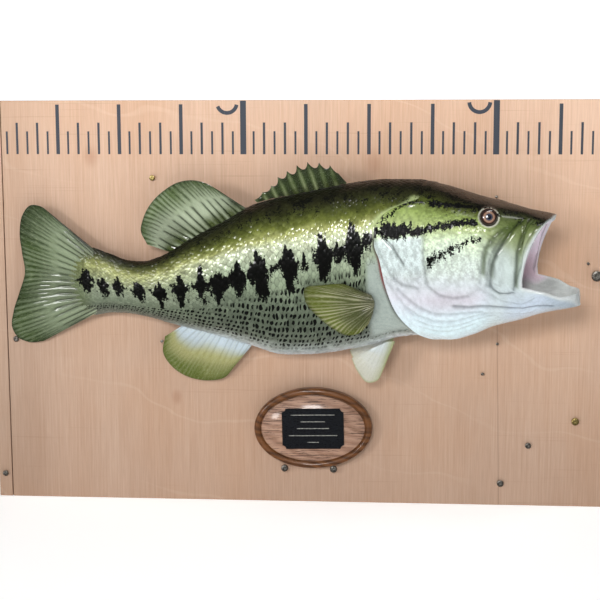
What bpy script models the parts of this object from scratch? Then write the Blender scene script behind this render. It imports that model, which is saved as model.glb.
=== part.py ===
"""Largemouth bass mounted on its display board, life size, with its oval name plaque.

Everything is worked out in millimetres and made in metres. The board's back face is at y = 0 and its
front face looks towards -Y. The fish is drawn straight in its own frame first, with three coordinates: the
station u along the body (it grows towards the snout), the half width v towards the viewer and the height h.
`place` then bends and rolls that straight fish into its pose in front of the board.
"""

import math

import bmesh
import bpy
import numpy as np
from mathutils import Matrix, Vector

MM = 0.001
GAP = 0.3  # between two pieces that touch

# The board, of two sheets of plywood with a narrow joint between them.
BOARD_WIDTH, BOARD_HEIGHT, BOARD_THICK = 760.0, 500.0, 12.0
STRIP_WIDTH, JOINT_WIDTH = 16.5, 0.9

# The plaque under the fish: an oval of turned oak with a notched metal plate.
PLAQUE_CENTRE = (21.8, -152.3)
PLAQUE_HALF = (73.0, 50.5)
PLAQUE_THICK, PLAQUE_FLAT_THICK, PLAQUE_BEAD = 17.0, 15.5, 8.0
PLAQUE_TILT = 1.1  # degrees, anticlockwise to the viewer
PLATE_SIZE, PLATE_THICK, PLATE_NOTCH = (76.5, 51.0), 0.9, 4.5
PLAQUE_FOOT = ((3.0, GAP), (0.6, 2.5), (0.0, 6.0))  # its lower edge: (inset, distance off the board)
BEAD_RISE, BEAD_STEPS = 3.5, 5
OVAL_STEPS = 32

# Fastenings left standing in the board: name, (x, z), head radius, head thickness, stand-off.
FASTENINGS = (
    ("screw_plaque_left", (-14.0, -204.6), 4.4, 2.6, 9.0),
    ("screw_plaque_right", (46.8, -204.9), 4.4, 2.6, 9.0),
    ("screw_brass_upper", (-175.6, 156.0), 3.4, 1.8, 3.0),
    ("screw_brass_right", (343.3, -141.7), 4.6, 2.0, 2.0),
    ("screw_grey_bottom", (253.5, -221.5), 4.2, 2.0, 2.0),
    ("screw_grey_lower", (286.6, -172.9), 3.8, 2.0, 2.0),
    ("screw_tail", (-351.8, -45.7), 3.6, 2.0, 2.0),
    ("screw_corner", (-371.2, -219.5), 3.6, 2.0, 2.0),
    ("screw_washer", (364.6, 38.5), 6.4, 1.6, 2.0),
    ("nail_brow", (242.5, 134.0), 1.8, 1.0, 3.0),
    ("nail_throat", (246.8, -45.7), 1.8, 1.0, 3.0),
    ("nail_black", (229.5, -83.6), 2.0, 1.0, 2.0),
    ("nail_wire", (-166.7, -46.2), 1.8, 1.0, 6.0),
    ("nail_washer", (353.3, 54.1), 1.8, 1.0, 6.0),
)
SHANK_SHARE = 0.45  # of the head's radius
HEAD_BEVEL, CROWN_SHARE = 0.4, 0.8  # each head's bevelled rim and the crown left inside it
FASTENING_STEPS = 10

# The pose: station zero of the fish in front of the board, and how the body bends and rolls along it.
FISH_X, FISH_Z = 5.0, 6.5
SPINE_HEIGHT = 35.0  # the height about which the body rolls
SPINE_OFF_BOARD = 33.0  # at station zero
YAW_TAIL, YAW_TRUNK, YAW_HEAD = 6.0, 1.5, 19.5  # degrees, the snout turned out from the board
ROLL_TAIL, ROLL_TRUNK, ROLL_HEAD = 4.0, 8.0, 7.0  # degrees, the back leaning out from the board
TAIL_BEND, HEAD_BEND = (-260.0, -120.0), (30.0, 170.0)

# Where the parts of the body meet.
STALK_END, REAR_CUT, FRONT_CUT, GILL_CUT = -250.0, -130.0, -10.0, 101.0
CORNER, SNOUT, CHIN = 281.0, 311.0, 340.0
CORNER_HEIGHT, LIP_TOP = 39.0, 115.0
AROUND = 32  # points around the body
TRUNK_RINGS = 7  # along each length of the trunk

# How the ends of the outline close: exponents of the snout, the chin and the lips.
UPPER_END, LOWER_END = 0.9, 0.95
SNOUT_SQUARE, CHIN_SQUARE, LIP_RISE = 2.6, 2.3, 0.5

# The mouth: its throat (station, half width, half height, middle height) and the flesh left round it.
THROAT_STATION, THROAT_WIDE, THROAT_TALL, THROAT_HEIGHT = 172.0, 26.0, 30.0, 70.0
LIP_WALL, THROAT_WALL = 4.5, 9.0  # at the lips, and what is added by the throat
MOUTH_DEPTHS = (0.03, 0.1, 0.2, 0.32, 0.46, 0.62, 0.8, 1.0)  # shares of the way back to the throat

# The jaws as profiles (station, height) ahead of their hinges, and the head's reach to each side.
HINGE = (274.0, 41.0)
LOWER_JAW = ((209.0, -80.0), (243.0, -12.0), HINGE, (420.0, 41.0), (420.0, -80.0))
UPPER_JAW = (
    (HINGE[0], HINGE[1] + GAP), (296.0, 131.0), (304.0, 170.0), (420.0, 170.0), (420.0, HINGE[1] + GAP),
)
BOTH_JAWS = (*LOWER_JAW[:3], *UPPER_JAW[1:4], LOWER_JAW[4])
HEAD_REACH = 90.0

GILL_PROUD, GILL_THICK = 4.2, 5.5  # the gill cover's rear edge stands proud of the body
GILL_TOP, GILL_FOOT = 0.2, 0.92  # shares around the body
GILL_ROWS, GILL_COLUMNS = 15, 6

TONGUE_STATIONS, TONGUE_HEIGHT = (225.0, 292.0), 19.0
TONGUE_WIDE, TONGUE_THICK = (1.5, 13.0), (0.6, 3.2)  # half sizes at the tip, and what is added behind it
TONGUE_RINGS, TONGUE_STEPS = 9, 16

BELLY_FIN_LEAN = (0.0, 1.0, 0.25)  # the belly fins' plates lean outward

EYE_STATION, EYE_HEIGHT, EYE_RADIUS, EYE_DEPTH, EYE_SUNK = 244.0, 119.0, 11.5, 7.0, 3.4
EYE_LEVEL = 0.35  # how much of the skin's upward slope the eye keeps


def line(*points):
    """A smooth curve through a few (station, value) pairs, with no overshoot between them."""
    x, y = np.array(points, float).T
    step = np.diff(x)
    rise = np.diff(y) / step
    slope = np.concatenate(([rise[0]], np.zeros(len(x) - 2), [rise[-1]]))
    same = rise[:-1] * rise[1:] > 0
    near, far = 2 * step[1:] + step[:-1], step[1:] + 2 * step[:-1]
    mean = (near + far) / (near / np.where(same, rise[:-1], 1) + far / np.where(same, rise[1:], 1))
    slope[1:-1] = np.where(same, mean, 0)

    def value(at):
        at = np.clip(np.asarray(at, float), x[0], x[-1])
        i = np.clip(np.searchsorted(x, at, side="right") - 1, 0, len(x) - 2)
        t = (at - x[i]) / step[i]
        return (
            y[i] * (1 + 2 * t) * (1 - t) ** 2
            + slope[i] * step[i] * t * (1 - t) ** 2
            + y[i + 1] * t * t * (3 - 2 * t)
            + slope[i + 1] * step[i] * t * t * (t - 1)
        )

    return value


def path(*points):
    """A smooth path through a few points, by its share of the length from 0 to 1."""
    points = np.array(points, float)
    steps = np.linalg.norm(np.diff(points, axis=0), axis=1)
    share = np.concatenate(([0], np.cumsum(steps))) / steps.sum()
    slope = np.gradient(points, share, axis=0)

    def value(at):
        at = np.clip(np.asarray(at, float), 0, 1)
        i = np.clip(np.searchsorted(share, at, side="right") - 1, 0, len(share) - 2)
        width = (share[i + 1] - share[i])[..., None]
        t = ((at - share[i]) / (share[i + 1] - share[i]))[..., None]
        return (
            points[i] * (1 + 2 * t) * (1 - t) ** 2
            + slope[i] * width * t * (1 - t) ** 2
            + points[i + 1] * t * t * (3 - 2 * t)
            + slope[i + 1] * width * t * t * (t - 1)
        )

    return value


def ease(low, high, at):
    """0 below low and 1 above high, with a smooth rise between."""
    t = np.clip((np.asarray(at, float) - low) / (high - low), 0, 1)
    return t * t * (3 - 2 * t)


# The body's lines, each a height, half width or exponent by station.
back = line(
    (-250, 66), (-228, 58), (-207, 51), (-190, 50), (-170, 55.5), (-130, 79), (-93, 99), (-48, 123), (4, 136),
    (64, 148), (110, 153), (150, 153), (165, 150.8), (182, 146.6), (211, 137.3), (230, 132.3), (260, 126.4),
    (290, 119.8), (SNOUT, LIP_TOP),
)
belly = line(
    (-250, -18.5), (-231, -15), (-216, -15), (-188, -19), (-153, -28.5), (-97, -42.5), (-60, -53),
    (-17, -64.5), (14, -63.5), (74, -53), (130, -36), (150, -33.2), (175, -34), (190, -34), (217, -27.5),
    (239, -17.5), (272, -7), (300, 3.3), (CHIN, 12.5),
)
widest = line(
    (-250, 24), (-200, 18), (-130, 24), (-60, 36), (0, 42), (64, 52), (120, 62), (190, 65), (235, 60),
    (258, 50), (CORNER, CORNER_HEIGHT),
)
half_width = line(
    (-250, 6), (-230, 10.5), (-207, 14.5), (-170, 21), (-130, 29), (-90, 38), (-48, 46.5), (0, 53.5),
    (50, 58), (130, 60), (165, 59), (200, 55.5), (230, 50), (255, 43), (CORNER, 36),
)
roundness_above = line((-250, 2), (0, 2.1), (130, 2.2), (180, 2.5), (215, 2.9), (245, 3.2), (CORNER, 3))
roundness_below = line((-250, 2), (130, 2.2), (CORNER, 2.4))
jaw_rim = line((CORNER, CORNER_HEIGHT), (296, 36.5), (307, 34.5), (316, 31), (325, 28.5), (CHIN, 29.5))
far_side_share = line(
    (-250, 1), (-200, 1), (-130, 0.9), (-90, 0.72), (-48, 0.6), (0, 0.54), (50, 0.52), (108, 0.58),
    (140, 0.7), (175, 0.9), (205, 1),
)
gill_edge = line(
    (0.19, 162), (0.23, 150), (0.257, 133), (0.295, 117.5), (0.347, 107), (0.413, 107.5), (0.473, 115),
    (0.565, 123), (0.665, 132.7), (0.778, 147.5), (0.851, 158), (0.9, 173), (0.93, 190),
)
gill_front = line(
    (0.19, 172), (0.33, 174.5), (0.507, 174), (0.566, 180), (0.602, 196), (0.64, 213), (0.7, 226),
    (0.93, 238),
)


def angles_along(station):
    """The body's turn and roll at a station, in radians."""
    tail, head = ease(*TAIL_BEND, station), ease(*HEAD_BEND, station)
    yaw = YAW_TAIL + (YAW_TRUNK - YAW_TAIL) * tail + (YAW_HEAD - YAW_TRUNK) * head
    roll = ROLL_TAIL + (ROLL_TRUNK - ROLL_TAIL) * tail + (ROLL_HEAD - ROLL_TRUNK) * head
    return np.radians(yaw), np.radians(roll)


SPINE_STATIONS = np.arange(-420.0, 421.0)
SPINE_YAW = angles_along(SPINE_STATIONS[:-1] + 0.5)[0]
SPINE_X = np.concatenate(([0], np.cumsum(np.cos(SPINE_YAW))))
SPINE_OUT = np.concatenate(([0], np.cumsum(np.sin(SPINE_YAW))))
SPINE_X -= np.interp(0, SPINE_STATIONS, SPINE_X)
SPINE_OUT -= np.interp(0, SPINE_STATIONS, SPINE_OUT)


def place(points):
    """Points of the straight fish (u, v, h) in millimetres, as points of the posed fish in metres."""
    u, v, h = np.moveaxis(np.asarray(points, float), -1, 0)
    yaw, roll = angles_along(u)
    rise = h - SPINE_HEIGHT
    out = v * np.cos(roll) + rise * np.sin(roll)
    up = rise * np.cos(roll) - v * np.sin(roll)
    x = FISH_X + np.interp(u, SPINE_STATIONS, SPINE_X) - out * np.sin(yaw)
    y = -BOARD_THICK - SPINE_OFF_BOARD - np.interp(u, SPINE_STATIONS, SPINE_OUT) - out * np.cos(yaw)
    return np.stack((x, y, FISH_Z + SPINE_HEIGHT + up), axis=-1) * MM


def last_station(q):
    """Where the line at share q around the body, from the back at 0 to the belly at 1, ends at the lips."""
    q = np.asarray(q, float)
    upper = np.cos(np.pi * np.clip(q, 0, 0.5)) ** UPPER_END
    lower = np.sin(np.pi * np.clip(q - 0.5, 0, 0.5)) ** LOWER_END
    return np.where(q < 0.5, CORNER + (SNOUT - CORNER) * upper, CORNER + (CHIN - CORNER) * lower)


def outline(u, q):
    """Half width and height of the body's surface at station u and share q around its near side."""
    u, q = np.broadcast_arrays(np.asarray(u, float), np.asarray(q, float))
    snout = np.clip((u - CORNER) / (SNOUT - CORNER), 0, 1)
    chin = np.clip((u - CORNER) / (CHIN - CORNER), 0, 1)
    first = np.arccos(snout ** (1 / UPPER_END)) / np.pi
    second = 0.5 + np.arcsin(chin ** (1 / LOWER_END)) / np.pi
    front = u > CORNER
    snout_wide = (1 - snout**SNOUT_SQUARE) ** (1 / SNOUT_SQUARE)
    chin_wide = (1 - chin**CHIN_SQUARE) ** (1 / CHIN_SQUARE)
    width_above = np.where(front, half_width(CORNER) * snout_wide, half_width(u))
    width_below = np.where(front, half_width(CORNER) * chin_wide, half_width(u))
    lip = np.where(front, CORNER_HEIGHT + (LIP_TOP - CORNER_HEIGHT) * snout**LIP_RISE, widest(u))
    rim = np.where(front, jaw_rim(u), widest(u))
    above = np.pi / 2 * np.clip(q / np.maximum(first, 1e-9), 0, 1)
    below = np.pi / 2 * np.clip((q - second) / np.maximum(1 - second, 1e-9), 0, 1)
    upper, lower = 2 / roundness_above(u), 2 / roundness_below(u)
    v = np.where(q < 0.5, width_above * np.sin(above) ** upper, width_below * np.cos(below) ** lower)
    h_above = lip + (back(u) - lip) * np.cos(above) ** upper
    h_below = rim - (rim - belly(u)) * np.sin(below) ** lower
    return np.maximum(v, 0), np.where(q < 0.5, h_above, h_below)


def surface(u, q, lift=0.0):
    """Points of the body's near side, lifted off it by a distance along its normal."""
    u, q = np.broadcast_arrays(np.asarray(u, float), np.asarray(q, float))
    points = np.stack((u, *outline(u, q)), axis=-1)
    if np.any(lift):
        ahead, behind = (np.stack((u + step, *outline(u + step, q)), axis=-1) for step in (0.5, -0.5))
        lower, upper = (np.stack((u, *outline(u, q + step)), axis=-1) for step in (1e-3, -1e-3))
        normal = np.cross(ahead - behind, lower - upper)
        normal /= np.linalg.norm(normal, axis=-1, keepdims=True)
        points = points + normal * np.asarray(lift)[..., None]
    return points


def to_side(points, side):
    """Near-side points left there (+1) or mirrored to the far side (-1), which is flattened to the board."""
    points = np.array(points, float)
    if side < 0:
        points[..., 1] *= -far_side_share(points[..., 0])
    return points


def whole_ring(half):
    """A ring all round the body from its near half, back to belly."""
    return np.concatenate((half, to_side(half[-2:0:-1], -1)))


def material(name, colour, roughness=0.5, metallic=0.0):
    made = bpy.data.materials.new(name)
    made.use_nodes = True
    shader = made.node_tree.nodes["Principled BSDF"]
    shader.inputs["Base Color"].default_value = (*colour, 1)
    shader.inputs["Roughness"].default_value = roughness
    shader.inputs["Metallic"].default_value = metallic
    return made


def add_object(name, mesh_data, finish, smooth=True):
    """Makes an object from a bmesh, with its normals outward."""
    bmesh.ops.recalc_face_normals(mesh_data, faces=mesh_data.faces)
    mesh = bpy.data.meshes.new(name)
    mesh_data.to_mesh(mesh)
    mesh_data.free()
    if smooth:
        mesh.shade_smooth()
        mesh.set_sharp_from_angle(angle=math.radians(40))
    mesh.materials.append(finish)
    made = bpy.data.objects.new(name, mesh)
    bpy.context.scene.collection.objects.link(made)
    return made


def as_cutter(made):
    made.hide_render = True
    made.display_type = "WIRE"
    return made


def boolean(made, cutter, operation):
    step = made.modifiers.new(cutter.name, "BOOLEAN")
    step.solver = "MANIFOLD"
    step.operation = operation
    step.object = cutter


def tube(rings):
    """A closed bmesh through rings of equally many points, each end closed by a fan."""
    built = bmesh.new()
    rows = [[built.verts.new(point) for point in ring] for ring in rings]
    for first, second in zip(rows, rows[1:]):
        for i in range(len(first)):
            j = (i + 1) % len(first)
            built.faces.new((first[i], first[j], second[j], second[i]))
    for row in (rows[0], rows[-1]):
        middle = built.verts.new(sum((vert.co for vert in row), Vector()) / len(row))
        for i in range(len(row)):
            built.faces.new((row[i], row[(i + 1) % len(row)], middle))
    return built


def plate(front, rear):
    """A closed bmesh between two grids of points of the same shape, one behind the other."""
    built = bmesh.new()
    rows, columns = front.shape[:2]
    grids = [[[built.verts.new(point) for point in row] for row in grid] for grid in (front, rear)]
    for grid in grids:
        for i in range(rows - 1):
            for j in range(columns - 1):
                built.faces.new((grid[i][j], grid[i][j + 1], grid[i + 1][j + 1]))
                built.faces.new((grid[i][j], grid[i + 1][j + 1], grid[i + 1][j]))
    border = [(i, 0) for i in range(rows)] + [(rows - 1, j) for j in range(1, columns)]
    border += [(i, columns - 1) for i in range(rows - 2, -1, -1)]
    border += [(0, j) for j in range(columns - 2, 0, -1)]
    for (i, j), (k, m) in zip(border, border[1:] + border[:1]):
        built.faces.new((grids[0][i][j], grids[0][k][m], grids[1][k][m], grids[1][i][j]))
    return built


def block(corner, far_corner):
    """A closed bmesh of a box between two corners, in millimetres."""
    built = bmesh.new()
    bmesh.ops.create_cube(built, size=1)
    low, high = Vector(corner) * MM, Vector(far_corner) * MM
    where = Matrix.Translation((low + high) / 2) @ Matrix.Diagonal((*(high - low), 1))
    bmesh.ops.transform(built, matrix=where, verts=built.verts)
    return built


def turned(profile, steps, centre=(0.0, 0.0)):
    """A closed bmesh turned about Y at centre (x, z), from a profile of (radius, distance off the board)."""
    turn = np.linspace(0, 2 * np.pi, steps, endpoint=False)
    rings = []
    for r, off in profile:
        x, z = centre[0] + r * np.cos(turn), centre[1] + r * np.sin(turn)
        rings.append(np.stack((x, np.full(steps, -BOARD_THICK - off), z), axis=-1) * MM)
    return tube(rings)


def make_board(wood):
    """The plywood panel and the narrow strip beside it."""
    half, top = BOARD_WIDTH / 2, BOARD_HEIGHT / 2
    joint = -half + STRIP_WIDTH
    panel = block((joint + JOINT_WIDTH, -BOARD_THICK, -top), (half, 0, top))
    strip = block((-half, -BOARD_THICK, -top), (joint, 0, top))
    add_object("board", panel, wood, smooth=False)
    add_object("board_strip", strip, wood, smooth=False)


def make_fastenings(finishes):
    """Screws and nails whose heads stand off the board, each turned in one piece."""
    for name, centre, radius, thick, stand_off in FASTENINGS:
        shank = radius * SHANK_SHARE
        top = stand_off + thick
        rim, crown = top - HEAD_BEVEL, radius * CROWN_SHARE
        profile = ((shank, GAP), (shank, stand_off), (radius, stand_off), (radius, rim), (crown, top))
        finish = finishes["brass" if "brass" in name else "steel"]
        add_object(name, turned(profile, FASTENING_STEPS, centre), finish)


def make_plaque(oak, metal):
    """The oval plaque with a rounded bead round a sunk flat, and its notched plate."""
    turn = np.linspace(0, 2 * np.pi, OVAL_STEPS, endpoint=False)
    tilt = Matrix.Rotation(math.radians(-PLAQUE_TILT), 3, "Y")
    centre = Vector((PLAQUE_CENTRE[0], 0, PLAQUE_CENTRE[1]))

    def ring(inset, off):
        wide, tall = PLAQUE_HALF[0] - inset, PLAQUE_HALF[1] - inset
        points = [Vector((wide * math.cos(a), -BOARD_THICK - off, tall * math.sin(a))) for a in turn]
        return [(tilt @ point + centre) * MM for point in points]

    foot = [ring(inset, off) for inset, off in PLAQUE_FOOT]
    bead = []
    for a in np.linspace(0, np.pi, BEAD_STEPS, endpoint=False):
        bead.append(ring(PLAQUE_BEAD / 2 * (1 - math.cos(a)), PLAQUE_THICK - BEAD_RISE * (1 - math.sin(a))))
    add_object("plaque", tube([*foot, *bead, ring(PLAQUE_BEAD, PLAQUE_FLAT_THICK)]), oak)
    x, z, notch = PLATE_SIZE[0] / 2, PLATE_SIZE[1] / 2, PLATE_NOTCH
    quarter = [(x - notch * math.sin(a), z - notch * math.cos(a)) for a in np.linspace(0, math.pi / 2, 4)]
    corners = quarter + [(-a, b) for a, b in quarter[::-1]]
    corners += [(-a, -b) for a, b in quarter] + [(a, -b) for a, b in quarter[::-1]]
    low, high = PLAQUE_FLAT_THICK + GAP, PLAQUE_FLAT_THICK + GAP + PLATE_THICK
    rings = []
    for off in (low, high):
        rings.append([(tilt @ Vector((a, -BOARD_THICK - off, b)) + centre) * MM for a, b in corners])
    add_object("nameplate", tube(rings), metal, smooth=False)


def body_ring(u):
    """The flat ring of the posed body at one station."""
    return place(whole_ring(surface(u, np.linspace(0, 1, AROUND // 2 + 1))))


def make_trunk(flesh):
    """The tail stalk, and the trunk in a rear and a front length."""
    ends = (STALK_END, REAR_CUT, FRONT_CUT, GILL_CUT)
    for name, low, high in zip(("tail_stalk", "trunk_rear", "trunk_front"), ends, ends[1:]):
        stations = np.linspace(low + GAP / 2, high - GAP / 2, TRUNK_RINGS)
        add_object(name, tube([body_ring(u) for u in stations]), flesh)


def head_rings():
    """Rings of the whole head: over its outside to the lips, then back along the mouth to the throat."""
    q = np.linspace(0, 1, AROUND // 2 + 1)
    first = GILL_CUT + GAP / 2
    lips = last_station(q)
    outer = [surface(first + (lips - first) * share, q) for share in (*np.linspace(0, 0.95, 14), 0.98, 1)]
    wide, tall = THROAT_WIDE * np.sin(np.pi * q), THROAT_TALL * np.cos(np.pi * q)
    throat = np.stack((np.full(len(q), THROAT_STATION), wide, THROAT_HEIGHT + tall), axis=-1)
    inner = []
    for depth in MOUTH_DEPTHS:
        wall = np.full(len(q), LIP_WALL + THROAT_WALL * depth)
        base = surface(lips - depth * (lips - THROAT_STATION), q, -wall)
        share = ease(0.12, 1, depth)
        inner.append(base * (1 - share) + throat * share)
    for half in inner:
        half[[0, -1], 1] = 0
    return [place(whole_ring(half)) for half in outer + inner]


def jaw_region(name, profile, margin, finish):
    """A cutter right across the head over a (station, height) profile, its rear set back by a margin."""
    shifted = [(u - margin * (u < CHIN), h) for u, h in profile]
    rings = [place([(u, v, h) for u, h in shifted]) for v in (-HEAD_REACH, HEAD_REACH)]
    return as_cutter(add_object(name, tube(rings), finish, smooth=False))


def gill_cover(side, margin):
    """The gill cover's plate. With a margin all round, it is the cutter of its own seat in the head."""
    q = np.linspace(GILL_TOP, GILL_FOOT, GILL_ROWS)
    share = np.linspace(0, 1, GILL_COLUMNS)
    if margin:
        q = np.concatenate(([q[0] - margin / 60], q, [q[-1] + margin / 60]))
        share = np.concatenate(([0], share, [1]))
    q, share = q[:, None], share[None, :]
    u = gill_edge(q) + (gill_front(q) - gill_edge(q)) * share
    u[:, 0] -= margin
    u[:, -1] += margin
    lift = GILL_PROUD * (1 - ease(0.15, 1.0, share)) + 0 * q
    outer = surface(u, q + 0 * u, lift + 5 * margin)
    inner = surface(u, q + 0 * u, lift - GILL_THICK - margin)
    return plate(place(to_side(outer, side)), place(to_side(inner, side)))


def ball(centre, radii, axes, around=14, rows=8):
    """A closed bmesh of an ellipsoid with the given axes, in millimetres of the straight fish."""
    turn = np.linspace(0, 2 * np.pi, around, endpoint=False)
    rings = []
    for tilt in np.linspace(0, np.pi, rows + 1)[1:-1]:
        wide, off = math.sin(tilt), np.full(around, math.cos(tilt))
        local = np.stack((np.cos(turn) * wide, off, np.sin(turn) * wide), axis=-1)
        rings.append(place(np.asarray(centre) + (local * radii) @ axes))
    return tube(rings)


def eye_frame(side):
    """The eye's centre and its axes: forward along the head, outward, and up."""
    q = np.linspace(0.02, 0.5, 400)
    nearest = q[np.argmin(np.abs(outline(EYE_STATION, q)[1] - EYE_HEIGHT))]
    on_skin = surface(EYE_STATION, nearest)
    outward = (surface(EYE_STATION, nearest, 1.0) - on_skin) * (1, 1, EYE_LEVEL)
    outward /= np.linalg.norm(outward)
    centre = on_skin - outward * EYE_SUNK
    ahead = np.cross(outward, (0, 0, 1))
    ahead /= np.linalg.norm(ahead)
    up = np.cross(ahead, outward)
    mirror = np.array((1, side, 1))
    return centre * mirror, np.array((ahead * mirror, outward * mirror, up * mirror))


def make_head(flesh, white, iris):
    """The head with its cheeks, both jaws, gill covers, eyes and tongue."""
    rings = head_rings()
    below = jaw_region("cutter_lower_jaw", LOWER_JAW, 0, flesh)
    ahead = jaw_region("cutter_upper_jaw", UPPER_JAW, 0, flesh)
    radii = np.array((EYE_RADIUS, EYE_DEPTH, EYE_RADIUS))
    head = add_object("head", tube(rings), flesh)
    boolean(head, jaw_region("cutter_both_jaws", BOTH_JAWS, GAP, flesh), "DIFFERENCE")
    lower_jaw = add_object("lower_jaw", tube(rings), white)
    boolean(lower_jaw, below, "INTERSECT")
    upper_jaw = add_object("upper_jaw", tube(rings), flesh)
    boolean(upper_jaw, ahead, "INTERSECT")
    for side, name in ((1, "right"), (-1, "left")):
        add_object(f"gill_cover_{name}", gill_cover(side, 0.0), white)
        seat = as_cutter(add_object(f"cutter_gill_{name}", gill_cover(side, 2 * GAP), flesh))
        boolean(head, seat, "DIFFERENCE")
        centre, axes = eye_frame(side)
        add_object(f"eye_{name}", ball(centre, radii, axes), iris)
        socket = as_cutter(add_object(f"cutter_eye_{name}", ball(centre, radii + GAP, axes), flesh))
        boolean(head, socket, "DIFFERENCE")


def beside_board(u, h):
    """The point at (u, h) halfway between the body's far flank and the board."""
    half, height = outline(u, np.linspace(1, 0, 101))
    flank = np.interp(h, height, half) * far_side_share(u)
    roll = float(angles_along(u)[1])
    spine_out = SPINE_OFF_BOARD + float(np.interp(u, SPINE_STATIONS, SPINE_OUT))
    room = spine_out + (h - SPINE_HEIGHT) * math.sin(roll)
    return u, -(flank + room / math.cos(roll)) / 2, h


def fin(name, base, margin, finish, across, along, thick, lean=(0.0, 1.0, 0.0), scallop=0.0, settle=None):
    """A fin's plate between its base and its outer margin, both curves from front or top to rear or bottom.

    thick is the thickness at the base and at the margin, and lean the direction it is measured in. scallop
    pulls the margin in between its spines, as a share of the fin's height. settle takes (u, h) and gives the
    point the plate's middle is moved to there.
    """
    s = np.linspace(0, 1, across)[:, None]
    r = np.linspace(0, 1, along)[None, :]
    start, end = base(s[:, 0])[:, None, :], margin(s[:, 0])[:, None, :]
    reach = 1 - scallop * (np.arange(across) % 2)[:, None]
    points = start + (end - start) * (r * reach)[..., None]
    if settle:
        points = np.array([[settle(u, h) for u, _, h in row] for row in points])
    half = (thick[0] + (thick[1] - thick[0]) * r + 0 * s)[..., None] / 2 * np.asarray(lean)
    return add_object(name, plate(place(points + half), place(points - half)), finish)


def on_midline(points):
    """(u, h) pairs as points of the body's mid-plane."""
    return [(u, 0.0, h) for u, h in points]


def back_edge(low, high):
    """The foot of a fin along the back, from its front to its rear, just clear of the body."""
    return path(*on_midline([(u, back(u) + 1.0) for u in np.linspace(high, low, 7)]))


def make_fins(olive, pale):
    """The tail fin, the two back fins, the anal fin, and the paired breast and belly fins."""
    tail_base = path(*on_midline(((-251, 64), (-252.5, 45), (-252.5, 24), (-252, 4), (-251, -16))))
    tail_margin = path(*on_midline((
        (-303, 107), (-316, 116), (-329, 117), (-340, 105), (-345, 85), (-343.5, 58), (-341, 33),
        (-349, 9), (-359, -18), (-362, -37), (-355, -50), (-340, -56), (-322, -54),
    )))
    fin("fin_tail", tail_base, tail_margin, olive, across=21, along=4, thick=(9.0, 1.2))
    soft_margin = path(*on_midline((
        (-92, 138), (-108, 147), (-124, 150.5), (-141, 148), (-160, 137), (-177, 120), (-187, 101),
        (-190, 88), (-183, 71),
    )))
    fin("fin_back_soft", back_edge(-157, -62), soft_margin, olive, across=18, along=4, thick=(4.5, 1.2))
    spiny_margin = path(*on_midline((
        (50, 160), (42, 168), (28, 172), (5, 171), (-7, 164), (-19, 158), (-28, 146), (-41, 136), (-50, 127),
    )))
    spiny_base = back_edge(-47, 60)
    fin("fin_back_spiny", spiny_base, spiny_margin, olive, across=19, along=3, thick=(4.5, 1.4), scallop=0.12)
    anal_base = path(*on_midline([(u, belly(u) - 1.0) for u in np.linspace(-58, -145, 7)]))
    anal_margin = path(*on_midline((
        (-80, -82), (-94, -98), (-115, -102), (-137, -98), (-158, -84), (-169, -66), (-166, -45),
    )))
    fin("fin_anal", anal_base, anal_margin, pale, across=16, along=4, thick=(4.5, 1.2))
    base = path((100, 62, 30), (102, 62.5, 22), (103, 61.5, 14), (103, 60, 6))
    margin = path(
        (62, 68, 44.5), (36, 67, 42), (14, 64, 36), (14, 63, 24), (32, 63, 0), (50, 61, -14),
        (64, 59, -21), (82, 58, -19), (96, 57.5, -7),
    )
    fin("fin_breast_right", base, margin, olive, across=13, along=4, thick=(2.4, 1.2))
    foot = ((99, 28), (101, 21), (102, 14), (102, 7))
    edge = ((70, 16), (46, 5), (27, -7), (24, -17), (36, -30), (52, -38), (66, -39), (82, -32), (95, -14))
    base, margin = (path(*[beside_board(u, h) for u, h in points]) for points in (foot, edge))
    fin("fin_breast_left", base, margin, olive, across=13, along=4, thick=(1.2, 1.0), settle=beside_board)
    foot = ((118, -44.5), (108, -47.5), (98, -50), (89, -52))
    edge = ((105, -76), (97, -90), (86, -93), (73, -79), (66, -63))
    for name, foot_out, edge_out, behind in (("right", 15, 20, 0), ("left", -13, -12, 6)):
        base = path(*[(u - behind, foot_out, h) for u, h in foot])
        margin = path(*[(u - behind, edge_out, h) for u, h in edge])
        name = f"fin_belly_{name}"
        fin(name, base, margin, pale, across=10, along=4, thick=(2.6, 1.2), lean=BELLY_FIN_LEAN)


def make_tongue(pink):
    """The tongue, flat and round-tipped, clear of the floor of the mouth."""
    turn = np.linspace(0, 2 * np.pi, TONGUE_STEPS, endpoint=False)
    rings = []
    for share in np.linspace(0, 1, TONGUE_RINGS):
        u = TONGUE_STATIONS[0] + (TONGUE_STATIONS[1] - TONGUE_STATIONS[0]) * share
        wide = TONGUE_WIDE[0] + TONGUE_WIDE[1] * (1 - share**3) ** 0.5
        thick = TONGUE_THICK[0] + TONGUE_THICK[1] * (1 - share**4) ** 0.5
        height = TONGUE_HEIGHT + thick * np.sin(turn)
        rings.append(place(np.stack((np.full(TONGUE_STEPS, u), wide * np.cos(turn), height), axis=-1)))
    add_object("tongue", tube(rings), pink)


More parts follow.
